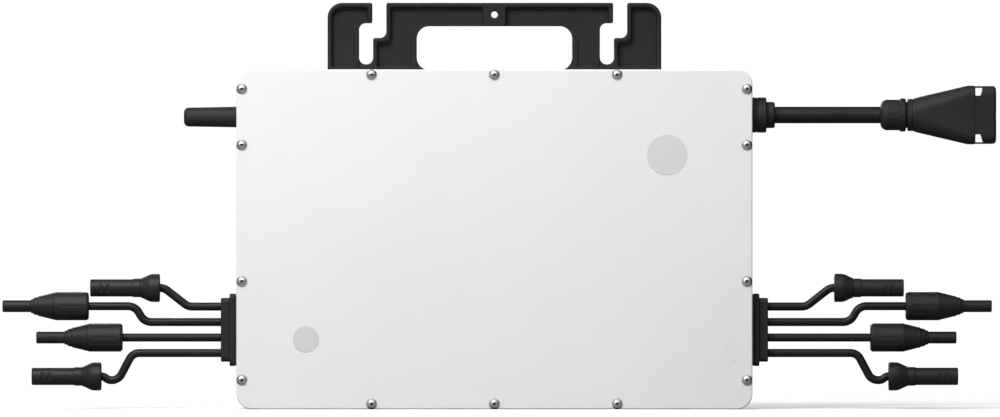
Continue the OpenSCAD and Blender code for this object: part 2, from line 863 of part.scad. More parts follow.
module grid_relays() {
    color([0.15, 0.25, 0.45]) for (x = [104, 128], z = [30, 54]) on_board(x, case_mid + z, [18, 15, 16]);
}

module line_chokes() {
    color([0.25, 0.25, 0.22]) for (x = [-20, 20, 60]) translate([x, 0, case_mid + 28]) difference() {
        stem(15, board_front, 13);
        stem(7, 0, case_d);
    }
}

// A small board on edge, with the processor on its face
module control_board() {
    color([0.05, 0.25, 0.35]) on_board(-60, case_mid + 60, [60, 14, 1.2]);
    color([0.1, 0.1, 0.1]) block([-60, board_front - 7, case_mid + 61.3], [10, 10, 1.4]);
}

module radio_module() {
    color([0.7, 0.7, 0.7]) on_board(-128, case_mid + 62, [24, 3, 18]);
}

// Solder blocks at the ends of the solar and grid cables
module terminal_blocks() {
    inner = case_w / 2 - pv_tail_in - 6;
    color([0.2, 0.45, 0.25]) {
        for (side = [-1, 1]) on_board(side * inner, -pv_drop, [10, 12, 42]);
        on_board(case_w / 2 - ac_tail_in - 7, -ac_drop - 2, [12, 13, 22]);
    }
}

// Resin between the casting's floor and the board
module potting_layer() {
    color([0.2, 0.2, 0.22]) difference() {
        slab(floor_in, board_gap) case_outline(board_inset);
        for (p = post_at) translate([p[0], 0, case_mid + p[1]]) stem(post_r + 2 * loose, 0, case_d);
        at_transistors() block([0, 0, 0], transistor_size + [4 * loose, past, 4 * loose]);
        seat_backing();
    }
}

rear_housing();
front_cover();
cover_seal();
cover_screws();
hanging_bracket();
bracket_screws();
blank_label();
status_lens();
antenna_cover();
antenna_rod();
antenna_nut();
pv_glands();
pv_gland_seals();
pv_tails();
ac_gland();
ac_gland_nut();
ac_tail();
ac_cable();
ac_cap_nut();
ac_coupler();
ac_contacts();
ac_latch(1);  // ac_latch_upper
ac_latch(-1);  // ac_latch_lower
for (n = [1 : 8]) {
    pv_lead(n);
    pv_connector(n);
    pv_cap_nut(n);
}
main_board();
board_screws();
transformer_cores();
transformer_windings();
input_capacitors();
film_capacitors();
power_transistors();
grid_relays();
line_chokes();
control_board();
radio_module();
terminal_blocks();
potting_layer();
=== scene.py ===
"""The looks of a four-input module-level solar inverter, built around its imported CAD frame.

Shapes are worked out in millimetres in the frame's own axes: X to the right, Y to the rear and Z up.
"""

import json
import math
import random

import bmesh
import bpy
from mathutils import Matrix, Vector
from mathutils.geometry import tessellate_polygon


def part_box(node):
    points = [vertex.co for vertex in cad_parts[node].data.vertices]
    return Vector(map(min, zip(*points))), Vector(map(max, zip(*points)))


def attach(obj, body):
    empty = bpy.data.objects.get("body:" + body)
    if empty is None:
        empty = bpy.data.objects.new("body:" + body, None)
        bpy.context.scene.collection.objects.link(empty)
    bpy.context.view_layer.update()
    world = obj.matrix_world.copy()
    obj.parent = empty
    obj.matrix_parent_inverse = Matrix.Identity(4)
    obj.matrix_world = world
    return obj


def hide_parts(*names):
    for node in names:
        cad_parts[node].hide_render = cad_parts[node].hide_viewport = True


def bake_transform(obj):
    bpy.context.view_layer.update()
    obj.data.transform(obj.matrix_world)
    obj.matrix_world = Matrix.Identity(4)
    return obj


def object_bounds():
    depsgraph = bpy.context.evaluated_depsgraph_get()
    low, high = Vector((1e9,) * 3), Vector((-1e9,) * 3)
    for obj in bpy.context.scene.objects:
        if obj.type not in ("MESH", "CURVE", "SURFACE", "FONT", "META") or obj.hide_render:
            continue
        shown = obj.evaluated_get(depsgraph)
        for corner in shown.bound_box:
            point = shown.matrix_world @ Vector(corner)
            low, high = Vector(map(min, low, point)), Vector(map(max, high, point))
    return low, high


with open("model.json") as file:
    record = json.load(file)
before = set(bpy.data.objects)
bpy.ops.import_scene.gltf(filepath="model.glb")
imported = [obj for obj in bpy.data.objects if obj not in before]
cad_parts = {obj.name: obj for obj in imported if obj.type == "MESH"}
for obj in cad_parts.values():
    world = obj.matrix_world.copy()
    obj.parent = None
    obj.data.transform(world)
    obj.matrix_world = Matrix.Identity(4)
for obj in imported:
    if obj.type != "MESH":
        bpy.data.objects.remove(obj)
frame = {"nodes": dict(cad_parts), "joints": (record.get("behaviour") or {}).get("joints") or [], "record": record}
cad_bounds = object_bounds()

MM = 0.001
# Points nearer than MERGE become one, so a ring of radius AXIS closes to a point
MERGE = 0.002
AXIS = MERGE / 4
random.seed(7)


# ---- Places from the frame ----


def box_mm(node):
    """A CAD node's lowest and highest corners, in millimetres."""
    low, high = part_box(node)
    return low / MM, high / MM


def centre_mm(node):
    low, high = box_mm(node)
    return (low + high) / 2


JOINTS = {joint["name"]: joint for joint in frame["joints"]}
MOUNTS = {mount["name"]: mount for mount in frame["record"]["mounts"]}


def joint_mm(name):
    return Vector(JOINTS[name]["pos_m"]) / MM


def mount_mm(name):
    return Vector(MOUNTS[name]["pos_m"]) / MM


CASE_LOW, CASE_HIGH = box_mm("front_cover")
CASE_W = CASE_HIGH.x - CASE_LOW.x
CASE_TOP = CASE_HIGH.z
CASE_BOTTOM = CASE_LOW.z
CASE_MID = (CASE_TOP + CASE_BOTTOM) / 2
COVER_FRONT = CASE_LOW.y
COVER_BACK = CASE_HIGH.y
MID_Y = joint_mm("ac_lead_flex").y
AC_Z = joint_mm("ac_lead_flex").z

# Sizes of the CAD part that its boxes and mounts don't give
CASE_R = 10.0
FLOOR_OUT = -6.0
WINDOW_HALF = 50.0
WINDOW_TOP = -7.4
MARK_SHIFT = 16.9
SLOT_SHIFT = 8.5
SLOT_SHELF = -15.0
COUNTERBORE_Y = -3.0


# ---- Outlines ----


def rounded(points, radii, closed=True, steps=6):
    """The outline through points, with each corner an arc. radii is one size, or one per corner."""
    count = len(points)
    sizes = radii if isinstance(radii, (list, tuple)) else [radii] * count
    outline = []
    for i, point in enumerate(points):
        corner = Vector(point)
        if sizes[i] == 0 or (not closed and i in (0, count - 1)):
            outline.append(corner)
            continue
        before = Vector(points[i - 1]) - corner
        after = Vector(points[(i + 1) % count]) - corner
        half = before.angle(after) / 2
        if half > math.pi / 2 - 0.01:
            outline.append(corner)
            continue
        reach = min(sizes[i] / math.tan(half), before.length * 0.49, after.length * 0.49)
        middle = corner + (before.normalized() + after.normalized()).normalized() * reach / math.cos(half)
        first = corner + before.normalized() * reach - middle
        last = corner + after.normalized() * reach - middle
        sweep = first.angle(last)
        for k in range(steps + 1):
            share = k / steps
            blend = first * math.sin((1 - share) * sweep) + last * math.sin(share * sweep)
            outline.append(middle + blend / math.sin(sweep))
    return outline


def rectangle(x0, z0, x1, z1, radius, steps=8):
    return rounded([(x0, z0), (x1, z0), (x1, z1), (x0, z1)], radius, steps=steps)


def turns(count):
    """Even steps of a full turn."""
    return [2 * math.pi * k / count for k in range(count)]


def circle(x, z, radius, count=48):
    return [Vector((x + radius * math.cos(a), z + radius * math.sin(a))) for a in turns(count)]


def area(loop):
    return sum(a.x * b.y - b.x * a.y for a, b in zip(loop, loop[1:] + loop[:1])) / 2


def inset(loop, distance):
    """The loop moved towards its left by distance, which is inwards when it runs anticlockwise."""
    result = []
    for i, point in enumerate(loop):
        a = (point - loop[i - 1]).normalized()
        b = (loop[(i + 1) % len(loop)] - point).normalized()
        left = (Vector((-a.y, a.x)) + Vector((-b.y, b.x))).normalized()
        stretch = 1 / max(left.dot(Vector((-a.y, a.x))), 0.5)
        result.append(point + left * distance * stretch)
    return result


def quarter(steps):
    """The sine and cosine at even steps of a quarter turn."""
    angles = [math.pi / 2 * k / steps for k in range(steps + 1)]
    return [(math.sin(a), math.cos(a)) for a in angles]


# ---- Meshes ----


def mesh_piece(name, points, faces):
    """A mesh object from points in millimetres."""
    mesh = bpy.data.meshes.new(name)
    mesh.from_pydata([Vector(p) * MM for p in points], [], faces)
    work = bmesh.new()
    work.from_mesh(mesh)
    bmesh.ops.remove_doubles(work, verts=work.verts, dist=MERGE * MM)
    bmesh.ops.recalc_face_normals(work, faces=work.faces)
    work.to_mesh(mesh)
    work.free()
    piece = bpy.data.objects.new(name, mesh)
    bpy.context.scene.collection.objects.link(piece)
    return piece


def band(a, b, count):
    """Faces between two rings of count points, whose first points are number a and number b."""
    return [(a + k, a + (k + 1) % count, b + (k + 1) % count, b + k) for k in range(count)]


def skin(name, rings, closed=False):
    """A mesh through rings of the same number of points, as a closed loop of rings or with capped ends."""
    count = len(rings[0])
    points = [p for ring in rings for p in ring]
    faces = []
    for i in range(len(rings) if closed else len(rings) - 1):
        faces += band(i * count, (i + 1) % len(rings) * count, count)
    if not closed:
        faces.append(tuple(range(count)))
        faces.append(tuple(range(len(points) - count, len(points))))
    return mesh_piece(name, points, faces)


def plate(name, loops, levels):
    """A flat solid from an outer loop and hole loops in X and Z. levels lists (inset, y) from one face to
    the other, so its edges can be rounded."""
    ordered = []
    for i, loop in enumerate(loops):
        loop = [Vector((p[0], p[1])) for p in loop]
        wanted = 1 if i == 0 else -1
        ordered.append(loop if area(loop) * wanted > 0 else loop[::-1])
    points, faces = [], []
    starts = []
    for loop in ordered:
        count = len(loop)
        starts.append(len(points))
        for distance, y in levels:
            points += [Vector((p.x, y, p.y)) for p in inset(loop, distance)]
        for i in range(len(levels) - 1):
            faces += band(starts[-1] + i * count, starts[-1] + (i + 1) * count, count)
    for level in (0, len(levels) - 1):
        ends = [[Vector((p.x, p.y, 0)) for p in inset(loop, levels[level][0])] for loop in ordered]
        index = [s + level * len(loop) + k for s, loop in zip(starts, ordered) for k in range(len(loop))]
        faces += [tuple(index[k] for k in triangle) for triangle in tessellate_polygon(ends)]
    return mesh_piece(name, points, faces)


def soft_edges(y_front, y_back, front, back, steps=4):
    """Levels of a plate whose front and back edges are quarter-rounds of those radii."""
    levels = [(front * (1 - s), y_front + front * (1 - c)) for s, c in quarter(steps)]
    return levels + [(back * (1 - c), y_back - back * (1 - s)) for s, c in quarter(steps)]


def along_x(side, x, y, z):
    """Maps a shape's own X, Y, Z to the frame, from a start at (x, y, z), running to the right or left."""
    start = Vector((x, y, z))
    return lambda u, v, w: start + Vector((side * u, v, w))


def turned(profile, place, count, shape=None):
    """Rings about the X axis for points (x, r). shape(x, r, angle) may change the radius round the turn."""
    rings = []
    for x, r in profile:
        ring = []
        for angle in turns(count):
            size = shape(x, r, angle) if shape else r
            ring.append(place(x, size * math.cos(angle), size * math.sin(angle)))
        rings.append(ring)
    return rings


def lathe(name, profile, place, count):
    """A turned solid."""
    return skin(name, turned(profile, place, count))


def hollow_lathe(name, outer, inner, place, count, shape=None):
    """A turned solid with a turned hole right through: inner runs back to where outer started."""
    return skin(name, turned(outer, place, count, shape) + turned(inner, place, count), closed=True)


def soft_profile(points, radius, steps=4):
    return [(p[0], p[1]) for p in rounded(points, radius, closed=False, steps=steps)]


def tube(name, path, radius):
    """A round cable along a path of points that lies in a plane of constant Y."""
    rings = []
    for i, point in enumerate(path):
        before = path[max(i - 1, 0)]
        after = path[min(i + 1, len(path) - 1)]
        along = (after - before).normalized()
        up = Vector((-along.z, 0, along.x))
        across = Vector((0, 1, 0))
        rings.append([point + up * radius * math.sin(a) + across * radius * math.cos(a) for a in turns(28)])
    return skin(name, rings)


def loft(name, sections, place):
    """A solid through rounded rectangles, given as (x, half size in Y, half size in Z, corner radius)."""
    rings = []
    for x, half_y, half_z, radius in sections:
        r = min(radius, half_y, half_z) * 0.999
        rings.append([place(x, p.x, p.y) for p in rectangle(-half_y, -half_z, half_y, half_z, r)])
    return skin(name, rings)


def block_sections(x0, x1, half_y, half_z, radius, edge):
    """Sections of a straight block whose two ends have rounded edges."""
    start = []
    for s, c in quarter(4):
        cut = edge * (1 - s)
        start.append((x0 + edge * (1 - c), half_y - cut, half_z - cut, radius))
    return start + [(x1 - (x - x0), hy, hz, r) for x, hy, hz, r in reversed(start)]


def join(name, pieces):
    """One mesh from several, with the pieces removed."""
    work = bmesh.new()
    for piece in pieces:
        work.from_mesh(piece.data)
        bpy.data.objects.remove(piece)
    mesh = bpy.data.meshes.new(name)
    work.to_mesh(mesh)
    work.free()
    whole = bpy.data.objects.new(name, mesh)
    bpy.context.scene.collection.objects.link(whole)
    return whole


def carve(piece, cutters, operation="DIFFERENCE"):
    """Cuts the cutters' joined shape out of a piece, and removes them."""
    tool = join(piece.name + "_cutter", cutters)
    change = piece.modifiers.new("carve", "BOOLEAN")
    change.operation = operation
    change.solver = "EXACT"
    change.object = tool
    bpy.context.view_layer.update()
    graph = bpy.context.evaluated_depsgraph_get()
    mesh = bpy.data.meshes.new_from_object(piece.evaluated_get(graph))
    piece.modifiers.clear()
    piece.data = mesh
    bpy.data.objects.remove(tool)
    return piece


def shade(piece):
    """Smooth shading with sharp edges kept, and flat faces kept flat."""
    piece.data.shade_smooth()
    piece.data.set_sharp_from_angle(angle=math.radians(35))
    weigh = piece.modifiers.new("weigh", "WEIGHTED_NORMAL")
    weigh.keep_sharp = True
    weigh.weight = 100


def dress(piece, slot):
    """Gives a piece the finish of a material slot."""
    piece.data.materials.clear()
    piece.data.materials.append(FINISHES[slot])


def fit_out(piece, body, slot, *nodes):
    """Shades a piece, gives it its finish, and puts it on its body in place of CAD nodes."""
    shade(piece)
    dress(piece, slot)
    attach(piece, body)
    if nodes:
        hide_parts(*nodes)


# ---- Finishes ----


class Nodes:
    """A node tree under construction."""

    def __init__(self, tree):
        self.tree = tree

    def node(self, kind, settings=None, **inputs):
        made = self.tree.nodes.new(kind)
        for key, value in (settings or {}).items():
            setattr(made, key, value)
        for key, value in inputs.items():
            self.feed(made.inputs[key.replace("_", " ")], value)
        return made

    def feed(self, socket, value):
        if isinstance(value, bpy.types.NodeSocket):
            self.tree.links.new(value, socket)
        else:
            socket.default_value = value

    def worked(self, kind, operation, *values):
        """A maths node fed with the values in order."""
        made = self.node(kind, {"operation": operation} if operation else None)
        for socket, value in zip(made.inputs, values):
            self.feed(socket, value)
        return made

    def maths(self, operation, *values):
        return self.worked("ShaderNodeMath", operation, *values).outputs[0]

    def dot(self, a, b):
        return self.worked("ShaderNodeVectorMath", "DOT_PRODUCT", a, b).outputs["Value"]

    def between(self, factor, low, high, start=0.0, end=1.0, kind="LINEAR"):
        """A number that goes from low to high as factor goes from start to end."""
        made = self.node("ShaderNodeMapRange", {"interpolation_type": kind}, Value=factor)
        for key, value in {"From Min": start, "From Max": end, "To Min": low, "To Max": high}.items():
            made.inputs[key].default_value = value
        return made.outputs[0]

    def either(self, share, a, b):
        """A shader that goes from a to b as share goes from 0 to 1."""
        return self.worked("ShaderNodeMixShader", None, share, a, b).outputs[0]


class Finish(Nodes):
    """A material, in object coordinates, which are metres in the frame."""

    def __init__(self, name):
        self.material = bpy.data.materials.new(name)
        self.material.use_nodes = True
        super().__init__(self.material.node_tree)
        self.surface = self.tree.nodes["Principled BSDF"]
        self.coordinates = self.node("ShaderNodeTexCoord").outputs["Object"]

    def set(self, **inputs):
        for key, value in inputs.items():
            self.feed(self.surface.inputs[key.replace("_", " ")], value)

    def stretched(self, x, y, z):
        return self.node("ShaderNodeMapping", Vector=self.coordinates, Scale=(x, y, z)).outputs[0]

    def noise(self, scale, detail=3.0, rough=0.5, vector=None):
        made = self.node("ShaderNodeTexNoise", Vector=vector or self.coordinates,
                         Scale=scale, Detail=detail, Roughness=rough)
        return made.outputs[0]

    def blend(self, factor, a, b):
        """A colour between a and b."""
        made = self.node("ShaderNodeMix", {"data_type": "RGBA"})
        self.feed(made.inputs[0], factor)
        for socket, value in ((made.inputs[6], a), (made.inputs[7], b)):
            self.feed(socket, value if isinstance(value, bpy.types.NodeSocket) else (*value, 1.0))
        return made.outputs[2]

    def mottled(self, pattern, start, end, a, b):
        """Colour a, going over to b as the pattern goes from start to end."""
        return self.blend(self.between(pattern, 0.0, 1.0, start, end), a, b)

    def sum(self, a, b, weight=1.0):
        return self.maths("MULTIPLY_ADD", b, weight, a)

    def edges(self, width):
        """1 along edges and 0 on flat faces."""
        soft = self.node("ShaderNodeBevel", {"samples": 4}, Radius=width * MM).outputs[0]
        flat = self.node("ShaderNodeNewGeometry").outputs["Normal"]
        return self.between(self.dot(soft, flat), 1.0, 0.0, 0.80, 0.995)

    def scaled(self, colour, share):
        made = self.node("ShaderNodeVectorMath", {"operation": "SCALE"})
        self.feed(made.inputs[0], colour)
        self.feed(made.inputs["Scale"], share)
        return made.outputs[0]

    def painted_grazing_shade(self, colour, keep, start=0.3, end=0.9):
        """The colour with painted shade, falling to keep times itself where a surface turns away from the eye."""
        facing = self.node("ShaderNodeLayerWeight", Blend=0.5).outputs["Facing"]
        return self.scaled(colour, self.between(facing, 1.0, keep, start, end))

    def painted_recess_shade(self, colour):
        """The colour with painted shade, darkened in recesses and tight corners where light is blocked."""
        open_sky = self.node("ShaderNodeAmbientOcclusion", {"samples": 8}, Distance=1.9 * MM).outputs["AO"]
        return self.scaled(colour, self.between(open_sky, 0.08, 1.0, 0.3, 0.8))

    def bump(self, height, depth, strength):
        """Relief of a depth in millimetres, which finishes the material."""
        made = self.node("ShaderNodeBump", Height=height, Strength=strength, Distance=depth * MM)
        self.feed(self.surface.inputs["Normal"], made.outputs[0])
        return self.material


def grey(value):
    return (value, value, value)


def toned(colour, gain, lift=0.0):
    """A colour made lighter or darker."""
    return tuple(c * gain + lift for c in colour)


def powder_coat(name, colour, shade_colour):
    """A fine-textured powder coat with a faint orange peel, soft clouding and a little dust."""
    f = Finish(name)
    clouds = f.noise(9.0, 3.0)
    dust = f.noise(160.0, 5.0, 0.7)
    peel = f.noise(620.0, 2.0)
    grain = f.noise(2600.0, 2.0, 0.6)
    tone = f.mottled(clouds, 0.3, 0.7, colour, shade_colour)
    specks = f.between(dust, 0.0, 0.35, 0.66, 0.8)
    f.set(Base_Color=f.blend(specks, tone, toned(shade_colour, 0.9)))
    f.set(Roughness=f.between(f.sum(clouds, dust, 0.5), 0.42, 0.6, 0.4, 1.1))
    f.set(Specular_IOR_Level=0.45)
    return f.bump(f.sum(peel, grain, 0.35), 0.09, 0.7)


def moulded(name, colour, rough, grain_size, depth, rim=0.5, edge_shade_tone=0.75):
    """Moulded plastic with a spark-eroded grain and scuffs in places, and painted shade: darker along its edges
    and where it turns from the eye.
    """
    f = Finish(name)
    grain = f.noise(1000.0 / grain_size, 3.0, 0.6)
    flow = f.noise(55.0, 4.0, 0.6, f.stretched(0.35, 1.0, 1.0))
    scuffs = f.noise(240.0, 6.0, 0.75, f.stretched(0.15, 1.0, 1.0))
    edge = f.edges(rim)
    worn = f.between(f.sum(edge, scuffs, 0.6), 0.0, 0.35, 1.1, 1.45)
    tone = f.mottled(flow, 0.35, 0.65, colour, toned(colour, 1.3))
    tone = f.blend(f.between(grain, 0.0, 0.5, 0.5, 0.75), tone, toned(colour, 1.8))
    # Painted shade: the colour darkens along the edges.
    tone = f.blend(edge, tone, toned(colour, edge_shade_tone))
    f.set(Base_Color=f.painted_grazing_shade(f.blend(worn, tone, toned(colour, 1.6, 0.004)), 0.45))
    f.set(Roughness=f.between(f.sum(flow, scuffs, 0.6), rough - 0.07, rough + 0.09, 0.5, 1.1))
    f.set(Specular_IOR_Level=0.26)
    return f.bump(f.sum(grain, scuffs, 0.2), depth, 0.9)


def cable_jacket(name, colour):
    """An extruded cable sheath: fine lines along it, a soft sheen, faint handling marks, and painted shade where
    it turns from the eye.
    """
    f = Finish(name)
    lines = f.noise(900.0, 3.0, 0.6, f.stretched(0.02, 1.0, 1.0))
    skin_grain = f.noise(2200.0, 2.0)
    marks = f.noise(90.0, 5.0, 0.7)
    rubbed = f.blend(f.between(marks, 0.0, 0.8, 0.5, 0.75), colour, toned(colour, 1.7, 0.004))
    # Painted shade: darker where the sheath turns from the eye.
    f.set(Base_Color=f.painted_grazing_shade(rubbed, 0.25, 0.15, 0.7))
    f.set(Roughness=f.between(f.sum(marks, lines, 0.4), 0.40, 0.55, 0.4, 1.0))
    f.set(Specular_IOR_Level=0.26)
    return f.bump(f.sum(lines, skin_grain, 0.5), 0.05, 0.8)


def soft_rubber(name, colour):
    """Seal rubber with a dry bloom."""
    f = Finish(name)
    bloom = f.noise(130.0, 5.0, 0.7)
    f.set(Base_Color=f.mottled(bloom, 0.4, 0.8, colour, toned(colour, 2.0, 0.01)))
    f.set(Roughness=f.between(bloom, 0.7, 0.88, 0.3, 0.7))
    return f.bump(f.noise(1800.0, 2.0), 0.03, 0.6)


def bright_metal(name, colour, rough, brush=(1.0, 1.0, 1.0)):
    """Plated or stainless metal with fine turning or brushing lines and stains in its gloss, with painted shade in
    recesses and where it turns from the eye.
    """
    f = Finish(name)
    lines = f.noise(2400.0, 3.0, 0.6, f.stretched(*brush))
    stains = f.noise(210.0, 4.0, 0.6)
    f.set(Metallic=1.0)
    stained = f.mottled(stains, 0.35, 0.7, colour, toned(colour, 0.8))
    # Painted shade in recesses and at grazing angles.
    f.set(Base_Color=f.painted_grazing_shade(f.painted_recess_shade(stained), 0.2, 0.2, 0.5))
    f.set(Roughness=f.between(f.sum(stains, lines, 0.5), rough - 0.06, rough + 0.12, 0.4, 1.1))
    return f.bump(lines, 0.006, 0.6)


def matt_film(name, colour):
    """A printed film label, left blank: a paper-like fleck under a matt laminate."""
    f = Finish(name)
    fleck = f.noise(1500.0, 4.0, 0.7)
    f.set(Base_Color=f.mottled(fleck, 0.35, 0.7, colour, toned(colour, 0.96)))
    f.set(Roughness=f.between(fleck, 0.5, 0.64), Coat_Weight=0.08, Coat_Roughness=0.35)
    return f.bump(fleck, 0.008, 0.4)


def frosted(name, colour):
    """A diffusing lens: pale plastic with light scattered inside it."""
    f = Finish(name)
    haze = f.noise(420.0, 3.0)
    f.set(Base_Color=f.mottled(haze, 0.35, 0.7, colour, toned(colour, 0.95)))
    f.set(Roughness=f.between(haze, 0.32, 0.44), Subsurface_Weight=0.25, Subsurface_Scale=1.5 * MM)
    f.set(Subsurface_Radius=(1.0, 1.0, 1.0))
    return f.bump(f.noise(3000.0, 2.0), 0.01, 0.4)


def board_finish(name, colour):
    """Solder mask over copper tracks."""
    f = Finish(name)
    distance = f.node("ShaderNodeTexVoronoi", Vector=f.coordinates, Scale=260.0).outputs["Distance"]
    tracks = f.between(distance, 1.0, 0.0, 0.12, 0.16)
    f.set(Base_Color=f.blend(tracks, colour, toned(colour, 1.7, 0.02)))
    f.set(Roughness=f.between(f.noise(300.0), 0.25, 0.4), Coat_Weight=0.3)
    return f.bump(tracks, 0.035, 0.7)


def sintered(name, colour):
    """Pressed ferrite: dark, slightly speckled and dry."""
    f = Finish(name)
    speck = f.noise(1900.0, 5.0, 0.8)
    f.set(Base_Color=f.mottled(speck, 0.45, 0.75, colour, toned(colour, 2.2)))
    f.set(Roughness=f.between(speck, 0.55, 0.75), Metallic=0.1)
    return f.bump(speck, 0.04, 0.6)


def wound_wire(name, colour):
    """Enamelled wire in close turns."""
    f = Finish(name)
    wave = f.node("ShaderNodeTexWave", {"wave_type": "RINGS", "rings_direction": "Y"}, Vector=f.coordinates,
                  Scale=420.0, Distortion=0.6).outputs["Fac"]
    f.set(Base_Color=f.blend(wave, toned(colour, 0.55), colour))
    f.set(Metallic=0.85, Roughness=f.between(f.noise(500.0), 0.22, 0.36), Coat_Weight=0.5)
    return f.bump(wave, 0.15, 0.8)


def cured_resin(name, colour):
    """Potting resin with a slow ripple left from pouring."""
    f = Finish(name)
    ripple = f.noise(60.0, 3.0)
    f.set(Base_Color=f.blend(ripple, colour, toned(colour, 1.5)))
    f.set(Roughness=f.between(f.noise(400.0), 0.2, 0.4), Coat_Weight=0.2)
    return f.bump(ripple, 0.3, 0.4)


FINISHES = {
    "white_paint": powder_coat("white_powder_coat", (0.80, 0.81, 0.805), (0.77, 0.78, 0.775)),
    "bracket_plastic": moulded("bracket_plastic", (0.0088, 0.0088, 0.0091), 0.57, 0.6, 0.07, 1.3, 0.6),
    "black_plastic": moulded("gland_plastic", (0.0128, 0.0128, 0.0131), 0.6, 0.5, 0.06),
    "connector_plastic": moulded("connector_plastic", (0.012, 0.012, 0.0123), 0.5, 0.4, 0.045),
    "cable_jacket": cable_jacket("cable_jacket", (0.0078, 0.0078, 0.0081)),
    "seal": soft_rubber("seal_rubber", (0.02, 0.02, 0.02)),
    "steel": bright_metal("stainless", (0.80, 0.795, 0.785), 0.24),
    "tin": bright_metal("tin_plate", (0.72, 0.70, 0.65), 0.28, (0.1, 1.0, 1.0)),
    "label_film": matt_film("label_film", grey(0.66)),
    "lens_plastic": frosted("lens_plastic", grey(0.66)),
}


# ---- Casing ----


def case_outline():
    half = CASE_W / 2
    return rectangle(-half, CASE_BOTTOM, half, CASE_TOP, CASE_R, steps=12)


def port_mark(side, z, up):
    """Outlines of one solar input's mark: a square bracket round a plus and a minus, the plus up or down."""
    spine, ends = 148.3, 152.5
    half = 7.25
    thin = 0.45
    out, back = spine - thin, spine + thin
    bracket = [(out, -half - thin), (ends, -half - thin), (ends, thin - half), (back, thin - half),
               (back, half - thin), (ends, half - thin), (ends, half + thin), (out, half + thin)]
    sign_x = ends + 1.4
    arm = 1.5
    bar = [(sign_x - arm, -thin), (sign_x + arm, -thin), (sign_x + arm, thin), (sign_x - arm, thin)]
    # The arms narrow a little, so that no two of the cross's edges lie in one line
    tip = thin - 0.05
    cross = []
    for c, s in ((1, 0), (0, 1), (-1, 0), (0, -1)):
        for u, w in ((arm, -tip), (arm, tip), (thin, thin)):
            cross.append((sign_x + u * c - w * s, u * s + w * c))
    shapes = [(bracket, 0.0), (cross, up * half / 2), (bar, -up * half / 2)]
    return [rounded([(side * u, z + w + shift) for u, w in shape], 0.2, steps=2) for shape, shift in shapes]


def build_cover():
    """The cover plate with its two recesses and port marks, and the label and lens that sit in them."""
    cover = plate("cover_plate", [case_outline()], soft_edges(COVER_FRONT, COVER_BACK + 0.05, 0.9, 0.4))
    above = COVER_FRONT - 1
    recess = COVER_FRONT + 0.6
    engraving = COVER_FRONT + 0.2
    discs = (("blank_label", "round_label", "label_film", 0.03, 0.12),
             ("status_lens", "status_diffuser", "lens_plastic", 0.02, 0.15))
    cutters = []
    for node, *_ in discs:
        at, r = disc_place(node)
        cutters.append(plate("disc_cut", [circle(at.x, at.z, r + 0.08, 96)], [(0, above), (0, recess)]))
    gland_z = centre_mm("pv_glands").z
    for side in (-1, 1):
        for up in (1, -1):
            for outline in port_mark(side, gland_z + up * MARK_SHIFT, -up):
                cutters.append(plate("mark_cut", [outline], [(0, above), (0, engraving)]))
    carve(cover, cutters)
    fit_out(cover, "casing", "white_paint", "front_cover")

    for node, name, slot, sunk, edge in discs:
        at, r = disc_place(node)
        disc = plate(name, [circle(at.x, at.z, r, 96)], soft_edges(COVER_FRONT + sunk, recess, edge, 0.02))
        fit_out(disc, "casing", slot, node)


def disc_place(node):
    """The centre and radius of a round CAD node that faces the front."""
    low, high = box_mm(node)
    return (low + high) / 2, (high.x - low.x) / 2


def fin(x, z0, z1, tall):
    """One cast fin with drafted sides, a round tip and ramped ends."""
    base_half, tip_half = 1.9, 1.0
    ramp = 7.0
    arc = [(tip_half * math.cos(math.pi * k / 8), tip_half * math.sin(math.pi * k / 8)) for k in range(9)]
    stations = [z0 + ramp * k / 6 for k in range(7)] + [z1 - ramp * k / 6 for k in range(6, -1, -1)]
    rings = []
    for z in stations:
        edge = min(z - z0, z1 - z, ramp) / ramp
        height = max(math.sqrt(max(1 - (1 - edge) ** 2, 0)), 0.02)
        top = FLOOR_OUT - 0.3 + (tall + 0.3 - tip_half) * height
        ring = [Vector((x + base_half, FLOOR_OUT - 0.5, z))]
        ring += [Vector((x + u, top + v * height, z)) for u, v in arc]
        ring.append(Vector((x - base_half, FLOOR_OUT - 0.5, z)))
        rings.append(ring)
    return skin("fin", rings)


def build_housing():
    """The tray: a joint line behind the cover, a rounded back, a flat seat for the bracket, and the fins."""
    back = 2.4
    levels = [(0.9, COVER_BACK + 0.05), (0.8, COVER_BACK + 0.2), (0.25, COVER_BACK + 0.45)]
    levels += [(0.05, COVER_BACK + 0.65), (0.0, COVER_BACK + 0.9), (0.0, -14.0)]
    levels += [(back * (1 - c), FLOOR_OUT - back * (1 - s)) for s, c in quarter(6)[1:]]
    shell = plate("housing_shell", [case_outline()], levels)
    bracket_low = box_mm("hanging_bracket")[0]
    seat_low = bracket_low.z - 1.5
    wide = CASE_W / 2 + 5
    seat = plate("seat_cut", [rectangle(-wide, seat_low, wide, CASE_TOP + 9, 1.2, steps=4)],
                 [(0, bracket_low.y), (0, 3.0)])
    carve(shell, [seat])
    count = 25
    span = CASE_W - 2 * CASE_R - 2.5
    fin_low, fin_high = CASE_BOTTOM + 5.0, seat_low - 5.0
    fins = [fin(span * (i / (count - 1) - 0.5), fin_low, fin_high, 6.0) for i in range(count)]
    whole = join("rear_tray", [shell] + fins)
    fit_out(whole, "casing", "white_paint", "rear_housing")


